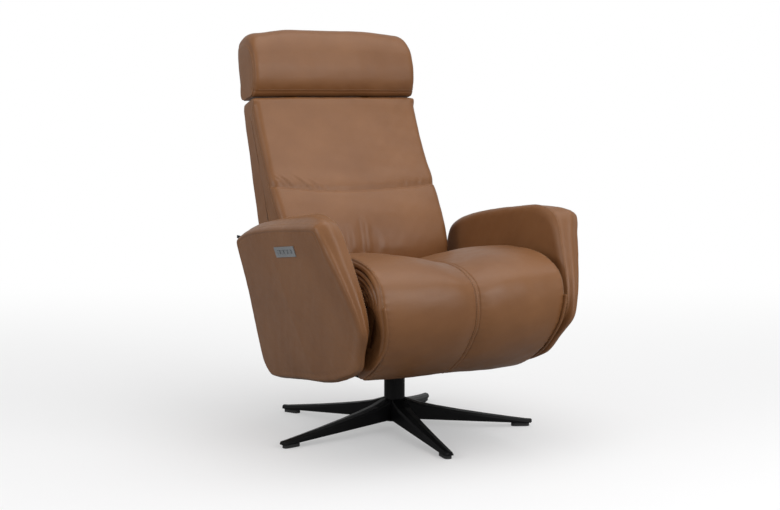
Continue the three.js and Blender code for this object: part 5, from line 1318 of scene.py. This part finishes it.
def back_threads(grid, rows, outline, outward):
    """Thread below the cross seam and along both boxing seams."""
    lifted = grid + grid_normals(grid, True) * outward * THREAD_LIFT
    front = np.nonzero(outline[:, 1] < -20)[0]
    line = [
        [np.interp(back_seam_at(x) - 6.5, outline[front, 0], lifted[i][front, k]) for k in range(3)]
        for i, (x, inset, share) in enumerate(rows) if inset == 0 and share == 1.0
    ]
    seams = [even_steps(np.array(line), 300)]
    for side in (-1, 1):
        row = nearest_row(rows, side, BACK_EDGE_ROUND + 6.0)
        seams.append(even_steps(lifted[row][outline[:, 1] < -16], 300))
    return seams


def back_skirt():
    """The panel that hangs behind the recline pivots and closes the gap to the seat frame."""
    front, rear = SKIRT_FRONT, BACK_REAR - 1.0
    levels = np.array([SKIRT_FOOT + 3, SKIRT_FOOT + 40, BACK_FOOT - 30, BACK_FOOT + 4])
    outline = np.array([
        *((level, front) for level in levels), *((level, rear) for level in levels[::-1]),
        (SKIRT_FOOT, rear - 3), (SKIRT_FOOT, front + 3),
    ])
    dense = np.concatenate([
        np.linspace(a, b, 6)[:-1] for a, b in zip(outline, np.roll(outline, -1, axis=0))
    ])
    places = back_place(dense[:, 0], dense[:, 1])
    x, inset = side_stations(SKIRT_HALF_WIDTH, 3.0, steps=4)
    return padded_block("back_skirt", places, x, inset)


# ---- headrest


def headrest_grid():
    """The plain form: rings, their stations, the outline, and how far that faces forwards."""
    outline = closed_line(
        HEADREST_LINE_SHARES, (HEADREST_FRONT, HEADREST_BOTTOM), (HEADREST_DEPTH, HEADREST_HEIGHT), 300,
    )
    middle = outline.mean(0)
    normals = outward_normals(outline, middle)
    half_height = HEADREST_HEIGHT * 0.5
    high = np.clip((outline[:, 1] - (HEADREST_BOTTOM + half_height)) / half_height, 0, 1)
    low = np.clip((HEADREST_BOTTOM + 30.0 - outline[:, 1]) / 30.0, 0, 1)[:, None]
    rows = rounded_stations(
        HEADREST_HALF_WIDTH, HEADREST_END_ROUND, 7.0, 10,
        (1.2, 2.6, 5.0), (0.9, 0.72, 0.5, 0.3, 0.12, 0.02), 0.6,
    )
    rings = []
    for x, inset, share in rows:
        fall = HEADREST_CORNER_FALL * ease(HEADREST_HALF_WIDTH - 150, HEADREST_HALF_WIDTH - 5, abs(x))
        corner = edge_drop(x, HEADREST_HALF_WIDTH + 3.0, HEADREST_CORNER) + fall
        ring = outline - normals * inset * (1 - 0.85 * low)
        if share < 1:
            ring = middle + (ring - middle) * share
        up = ring[:, 1] - corner * high * share
        rings.append(np.column_stack([np.full(len(ring), x), ring[:, 0], up]))
    return np.array(rings), rows, outline, np.clip((middle[0] - outline[:, 0]) / 20, 0, 1)


def headrest_leather():
    base, rows, outline, is_front = headrest_grid()
    facing = grid_normals(base, True)[len(rows) // 2]
    front = int(np.argmin(base[len(rows) // 2][:, 1]))
    outward = 1.0 if facing[front, 1] < 0 else -1.0
    seam_depth = padding("seam_depth")
    amount = np.zeros(base.shape[:2])
    gap = outline[:, 1] - HEADREST_LOW_SEAM
    for i, (x, inset, share) in enumerate(rows):
        amount[i] += 0.6 * ripple(base[i], 150.0, 31) + 0.2 * ripple(base[i], 48.0, 32)
        if share == 1.0:
            amount[i] -= seam_depth * 0.55 * bell(gap, 2.0) * is_front
            amount[i] -= seam_depth * 0.8 * bell(inset - 9.0, 2.0)
            amount[i] += 0.9 * bell(inset - 4.0, 2.0) * (inset > 0)
            wave = np.sin(x / 9.0 + 1.4 * math.sin(x / 41.0))
            amount[i] += 0.5 * wave * bell(gap - 9, 8.0) * is_front
    grid = proud_grid(base, amount, closed_across=True, outward=outward)
    seams = headrest_threads(grid, rows, outline, is_front, outward)
    return closed_tube("headrest_leather", grid), seams


def headrest_threads(grid, rows, outline, is_front, outward):
    """Thread above the low seam and along both end seams."""
    lifted = grid + grid_normals(grid, True) * outward * THREAD_LIFT
    inner = [i for i, r in enumerate(rows) if r[1] == 0 and r[2] == 1.0]
    column = int(np.argmin(np.abs(outline[:, 1] - HEADREST_LOW_SEAM - 5.0) + (is_front < 0.5) * 999))
    seams = [even_steps(lifted[inner, column], 300)]
    order = run_of((outline[:, 0] < outline[:, 0].mean() + 10) & (outline[:, 1] > HEADREST_BOTTOM + 12))
    for side in (-1, 1):
        seams.append(even_steps(lifted[nearest_row(rows, side, 12.5)][order], 260))
    return seams


def cut_headrest_slots(piece):
    """Two slots below, where the back frame's arms reach the headrest's rod."""
    cutter_mesh = bpy.data.meshes.new("headrest_slots")
    shape = bmesh.new()
    rear, up = (pivot + offset for pivot, offset in zip(HEADREST_PIVOT, HEADREST_SLOT_OFFSET))
    size = Matrix.Diagonal((*(length * MILLIMETRE for length in HEADREST_SLOT), 1.0))
    for side in (-1, 1):
        centre = Vector(to_row([side * HEADREST_ARM_STATION, rear, up]))
        bmesh.ops.create_cube(shape, size=1.0, matrix=Matrix.Translation(centre) @ size)
    shape.to_mesh(cutter_mesh)
    shape.free()
    cutter = link_object("headrest_slots", cutter_mesh)
    modifier = piece.modifiers.new("Slots", "BOOLEAN")
    modifier.operation = "DIFFERENCE"
    modifier.object = cutter
    modifier.solver = "EXACT"
    apply_modifiers(piece)
    bpy.data.objects.remove(cutter)
    return piece


# ---- operators


class RECLINER_OT_seat(bpy.types.Operator):
    """Build the seat's leather, the leg rest's pad and the pleated gussets of the fold"""

    bl_idname = "recliner.seat"
    bl_label = "Seat and leg rest"

    def execute(self, context):
        leather = leather_finish()
        body = dress(seat_body(), leather)
        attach(body, "chassis")
        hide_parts("seat_cushion")
        pad = dress(legrest_body(), leather)
        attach(pad, "legrest")
        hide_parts("legrest_pad")
        skin = dress(seat_skin(), leather)
        bend_with_legrest(skin)
        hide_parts("front_crease_roll")
        for side, name in ((1, "crease_gusset_left"), (-1, "crease_gusset_right")):
            gusset = dress(crease_gusset(side, name), leather)
            bend_with_legrest(gusset)
        for side, name in ((1, "legrest_side_left"), (-1, "legrest_side_right")):
            panel = dress(legrest_side(side, name), leather)
            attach(panel, "legrest")
        return {"FINISHED"}


class RECLINER_OT_arms(bpy.types.Operator):
    """Build the two leaning arms with their panels and seams"""

    bl_idname = "recliner.arms"
    bl_label = "Arms"

    def execute(self, context):
        leather = leather_finish()
        for side, name in ((1, "left"), (-1, "right")):
            grid, rows = arm_grid()
            placed = grid * np.array([side, 1.0, 1.0])
            arm = dress(closed_tube(f"arm_leather_{name}", placed), leather)
            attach(arm, "chassis")
            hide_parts(f"arm_{name}")
            thread = stitches(f"arm_stitches_{name}", arm_seams(grid, rows, side))
            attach(thread, "chassis")
        return {"FINISHED"}


class RECLINER_OT_back(bpy.types.Operator):
    """Build the back with its cross seam, boxing and skirt"""

    bl_idname = "recliner.back"
    bl_label = "Back"

    def execute(self, context):
        leather = leather_finish()
        back, grid, rows, outline, outward = back_leather()
        dress(back, leather)
        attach(back, "back")
        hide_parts("back_cushion", "back_shell")
        skirt = dress(back_skirt(), leather)
        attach(skirt, "back")
        thread = stitches("back_stitches", back_threads(grid, rows, outline, outward))
        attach(thread, "back")
        return {"FINISHED"}


class RECLINER_OT_headrest(bpy.types.Operator):
    """Build the headrest with its slots and seams"""

    bl_idname = "recliner.headrest"
    bl_label = "Headrest"

    def execute(self, context):
        piece, seams = headrest_leather()
        cut_headrest_slots(piece)
        dress(piece, leather_finish())
        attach(piece, "headrest")
        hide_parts("headrest_cushion")
        thread = stitches("headrest_stitches", seams)
        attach(thread, "headrest")
        return {"FINISHED"}


class RECLINER_OT_seat_stitches(bpy.types.Operator):
    """Lay the thread of the seat's centre and side seams"""

    bl_idname = "recliner.seat_stitches"
    bl_label = "Seat stitching"

    def execute(self, context):
        thread = stitches("seat_stitches", [seat_seam(x, 60, LOW_RUN - 18) for x in SEAT_THREADS])
        bend_with_legrest(thread)
        return {"FINISHED"}


def each(stem, *ends):
    return [f"{stem}_{end}" for end in ends]


HARDWARE = {
    "powder coat": [
        "star_base", "column_tube", "swivel_plate", *each("cross_rail", "front", "rear"), "front_rail",
        *each("legrest_leaf", "left", "right"), "legrest_drive_shaft",
        *each("legrest_link", "left", "right"), "back_frame", "actuator_fork", "zip_pull",
    ],
    "zinc": [
        "thrust_washer", "swivel_spindle", "spindle_retainer", *each("plate_bolt", 1, 2, 3, 4),
        *each("legrest_hinge_rod", "left", "right"), *each("arm_bolt_left", "front", "rear"),
        *each("arm_bolt_right", "front", "rear"), "back_actuator_rod", "headrest_rod",
    ],
    "nylon": ["lower_bush", "upper_bush"],
    "glide": each("floor_glide", 1, 2, 3, 4, 5),
    "plywood": ["seat_deck", *each("side_board", "left", "right"), *each("arm_block", "left", "right")],
    "lining": ["underseat_cover", "legrest_board"],
    "housing": ["legrest_gearmotor", "back_actuator_body", "power_box"],
    "panel": ["control_panel"],
    "key": each("panel_key", 1, 2, 3, 4),
}


class RECLINER_OT_hardware(bpy.types.Operator):
    """Give each carried-over metal, wood and plastic node its finish"""

    bl_idname = "recliner.hardware"
    bl_label = "Base and hardware"

    def execute(self, context):
        finishes = hardware_finishes()
        for kind, names in HARDWARE.items():
            for name in names:
                dress(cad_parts[name], finishes[kind])
        dress(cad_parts["rear_panel"], leather_finish())
        return {"FINISHED"}


CAMERA_PLACE = (-1772.8, -3357.9, 897.5)
CAMERA_LOOK = (0.4612, 0.8803, -0.1118)
# In metres: how far the floor reaches in front and to the sides, and to the rear; it lies a hair
# below the glides
FLOOR_REACH = (9.0, 18.0)
FLOOR_LEVEL = -0.0005
# The floor's way from the camera to the backdrop, and where the floor runs out: along that way
# and by distance from the middle
FLOOR_WAY = (0.46, 0.88)
FLOOR_FADE_BEHIND = (-1.2, 3.0)
FLOOR_FADE_ROUND = (2.4, 5.5)
# Name, place, height that the light aims at, size, and the setting of its power
SOFT_LIGHTS = (
    ("Overhead", (0.5, -0.6, 3.2), 0.5, (3.0, 3.0), "key_power"),
    ("Front", (0.9, -3.4, 1.9), 0.55, (2.4, 2.0), "fill_power"),
    ("Side", (-3.4, -0.6, 1.5), 0.5, (2.0, 2.0), "side_power"),
)


def floor_finish():
    stage = bpy.context.scene.recliner_stage
    material = bpy.data.materials.new("Studio floor")
    tree, surface = bare_tree(material, "Material")
    place = tree.nodes.new("ShaderNodeTexCoord").outputs["Object"]
    colour = tuple(stage.floor_colour)
    speckle = noise_node(tree, place, 3.0, detail=2.0)
    tint = colour_mix(tree, speckle, colour, tuple(min(c * 1.01, 1.0) for c in colour))
    seen = tree.nodes.new("ShaderNodeLightPath").outputs["Is Camera Ray"]
    # The floor throws back less light than it shows, so the undersides stay dark
    matt = add_node(tree, "ShaderNodeBsdfPrincipled", {
        "Roughness": 0.75, "Specular IOR Level": 0.2,
        "Base Color": colour_mix(tree, seen, (stage.floor_bounce,) * 3, tint),
    })
    glow = add_node(tree, "ShaderNodeEmission", {"Color": (1, 1, 1), "Strength": 1.0})

    def rise(value, start, end, least=0.0):
        return add_node(
            tree, "ShaderNodeMapRange",
            {"Value": value, "From Min": start, "From Max": end, "To Min": least},
            interpolation_type="SMOOTHSTEP",
        ).outputs[0]

    # Behind the chair, and well away from it on every side, the floor runs out into the backdrop
    parts = add_node(tree, "ShaderNodeSeparateXYZ", {0: place}).outputs
    sideways, rearwards = (
        math_node(tree, "MULTIPLY", part, share) for part, share in zip(parts, FLOOR_WAY)
    )
    away = math_node(tree, "ADD", sideways, rearwards)
    span = add_node(tree, "ShaderNodeVectorMath", {0: place}, operation="LENGTH").outputs["Value"]
    lit = math_node(tree, "MAXIMUM", rise(away, *FLOOR_FADE_BEHIND, 0.2), rise(span, *FLOOR_FADE_ROUND))
    share = math_node(tree, "MULTIPLY", lit, seen)
    mix = add_node(tree, "ShaderNodeMixShader", {0: share, 1: matt.outputs[0], 2: glow.outputs[0]})
    tree.links.new(mix.outputs[0], surface)
    return material


def studio_world():
    """An even room light, in front of a backdrop that shows as white."""
    world = bpy.data.worlds.new("Studio")
    bpy.context.scene.world = world
    tree, surface = bare_tree(world, "World")
    room, white = [
        add_node(tree, "ShaderNodeBackground", {"Color": (1, 1, 1), "Strength": strength}).outputs[0]
        for strength in (bpy.context.scene.recliner_stage.room_light, 1.0)
    ]
    seen = tree.nodes.new("ShaderNodeLightPath").outputs["Is Camera Ray"]
    mix = add_node(tree, "ShaderNodeMixShader", {0: seen, 1: room, 2: white})
    tree.links.new(mix.outputs[0], surface)


def soft_light(name, place, target, size, power):
    data = bpy.data.lights.new(name, "AREA")
    data.shape = "RECTANGLE"
    data.size, data.size_y = size
    data.energy = power
    light = link_object(name, data)
    light.location = place
    light.rotation_euler = (Vector(target) - Vector(place)).to_track_quat("-Z", "Y").to_euler()


class RECLINER_OT_stage(bpy.types.Operator):
    """Set the floor, the soft light and the camera"""

    bl_idname = "recliner.stage"
    bl_label = "Studio"

    def execute(self, context):
        stage = context.scene.recliner_stage
        near, far = FLOOR_REACH
        corners = ((-near, -near), (near, -near), (near, far), (-near, far))
        corners = [(*corner, FLOOR_LEVEL) for corner in corners]
        floor = link_mesh("studio_floor", corners, [(0, 1, 2, 3)])
        dress(floor, floor_finish())
        studio_world()
        for name, place, height, size, power in SOFT_LIGHTS:
            soft_light(name, place, (0.0, 0.0, height), size, getattr(stage, power))
        data = bpy.data.cameras.new("Camera")
        data.sensor_width = 36.0
        data.lens = stage.lens
        data.clip_start, data.clip_end = 0.05, 60.0
        camera = link_object("Camera", data)
        camera.location = to_row(CAMERA_PLACE)
        camera.rotation_euler = Vector(CAMERA_LOOK).to_track_quat("-Z", "Y").to_euler()
        context.scene.camera = camera
        context.scene.view_settings.view_transform = "Standard"
        return {"FINISHED"}


class RECLINER_PT_panel(bpy.types.Panel):
    """Lists the recliner's settings and its pieces"""

    bl_idname = "RECLINER_PT_panel"
    bl_label = "Swivel recliner"
    bl_space_type = "VIEW_3D"
    bl_region_type = "UI"
    bl_category = "Recliner"

    def draw(self, context):
        scene = context.scene
        for title, settings in (
            ("Leather", scene.recliner_leather), ("Stitching", scene.recliner_stitching),
            ("Padding", scene.recliner_upholstery), ("Metal", scene.recliner_metal),
            ("Studio", scene.recliner_stage),
        ):
            box = self.layout.box()
            box.label(text=title)
            for key in settings.__annotations__:
                box.prop(settings, key)
        column = self.layout.column()
        for operator in OPERATORS:
            column.operator(operator.bl_idname)


SETTINGS = {
    "recliner_leather": ReclinerLeather,
    "recliner_stitching": ReclinerStitching,
    "recliner_upholstery": ReclinerUpholstery,
    "recliner_metal": ReclinerMetal,
    "recliner_stage": ReclinerStage,
}
OPERATORS = (
    RECLINER_OT_stage, RECLINER_OT_seat, RECLINER_OT_seat_stitches, RECLINER_OT_arms,
    RECLINER_OT_back, RECLINER_OT_headrest, RECLINER_OT_hardware,
)


def register():
    for kind in (*SETTINGS.values(), *OPERATORS, RECLINER_PT_panel):
        bpy.utils.register_class(kind)
    for name, kind in SETTINGS.items():
        setattr(bpy.types.Scene, name, PointerProperty(type=kind))


def unregister():
    for name in SETTINGS:
        delattr(bpy.types.Scene, name)
    for kind in reversed((*SETTINGS.values(), *OPERATORS, RECLINER_PT_panel)):
        bpy.utils.unregister_class(kind)


def main():
    register()
    bpy.ops.recliner.stage()
    bpy.ops.recliner.seat()
    bpy.ops.recliner.seat_stitches()
    bpy.ops.recliner.arms()
    bpy.ops.recliner.back()
    bpy.ops.recliner.headrest()
    bpy.ops.recliner.hardware()


if __name__ == "__main__":
    main()
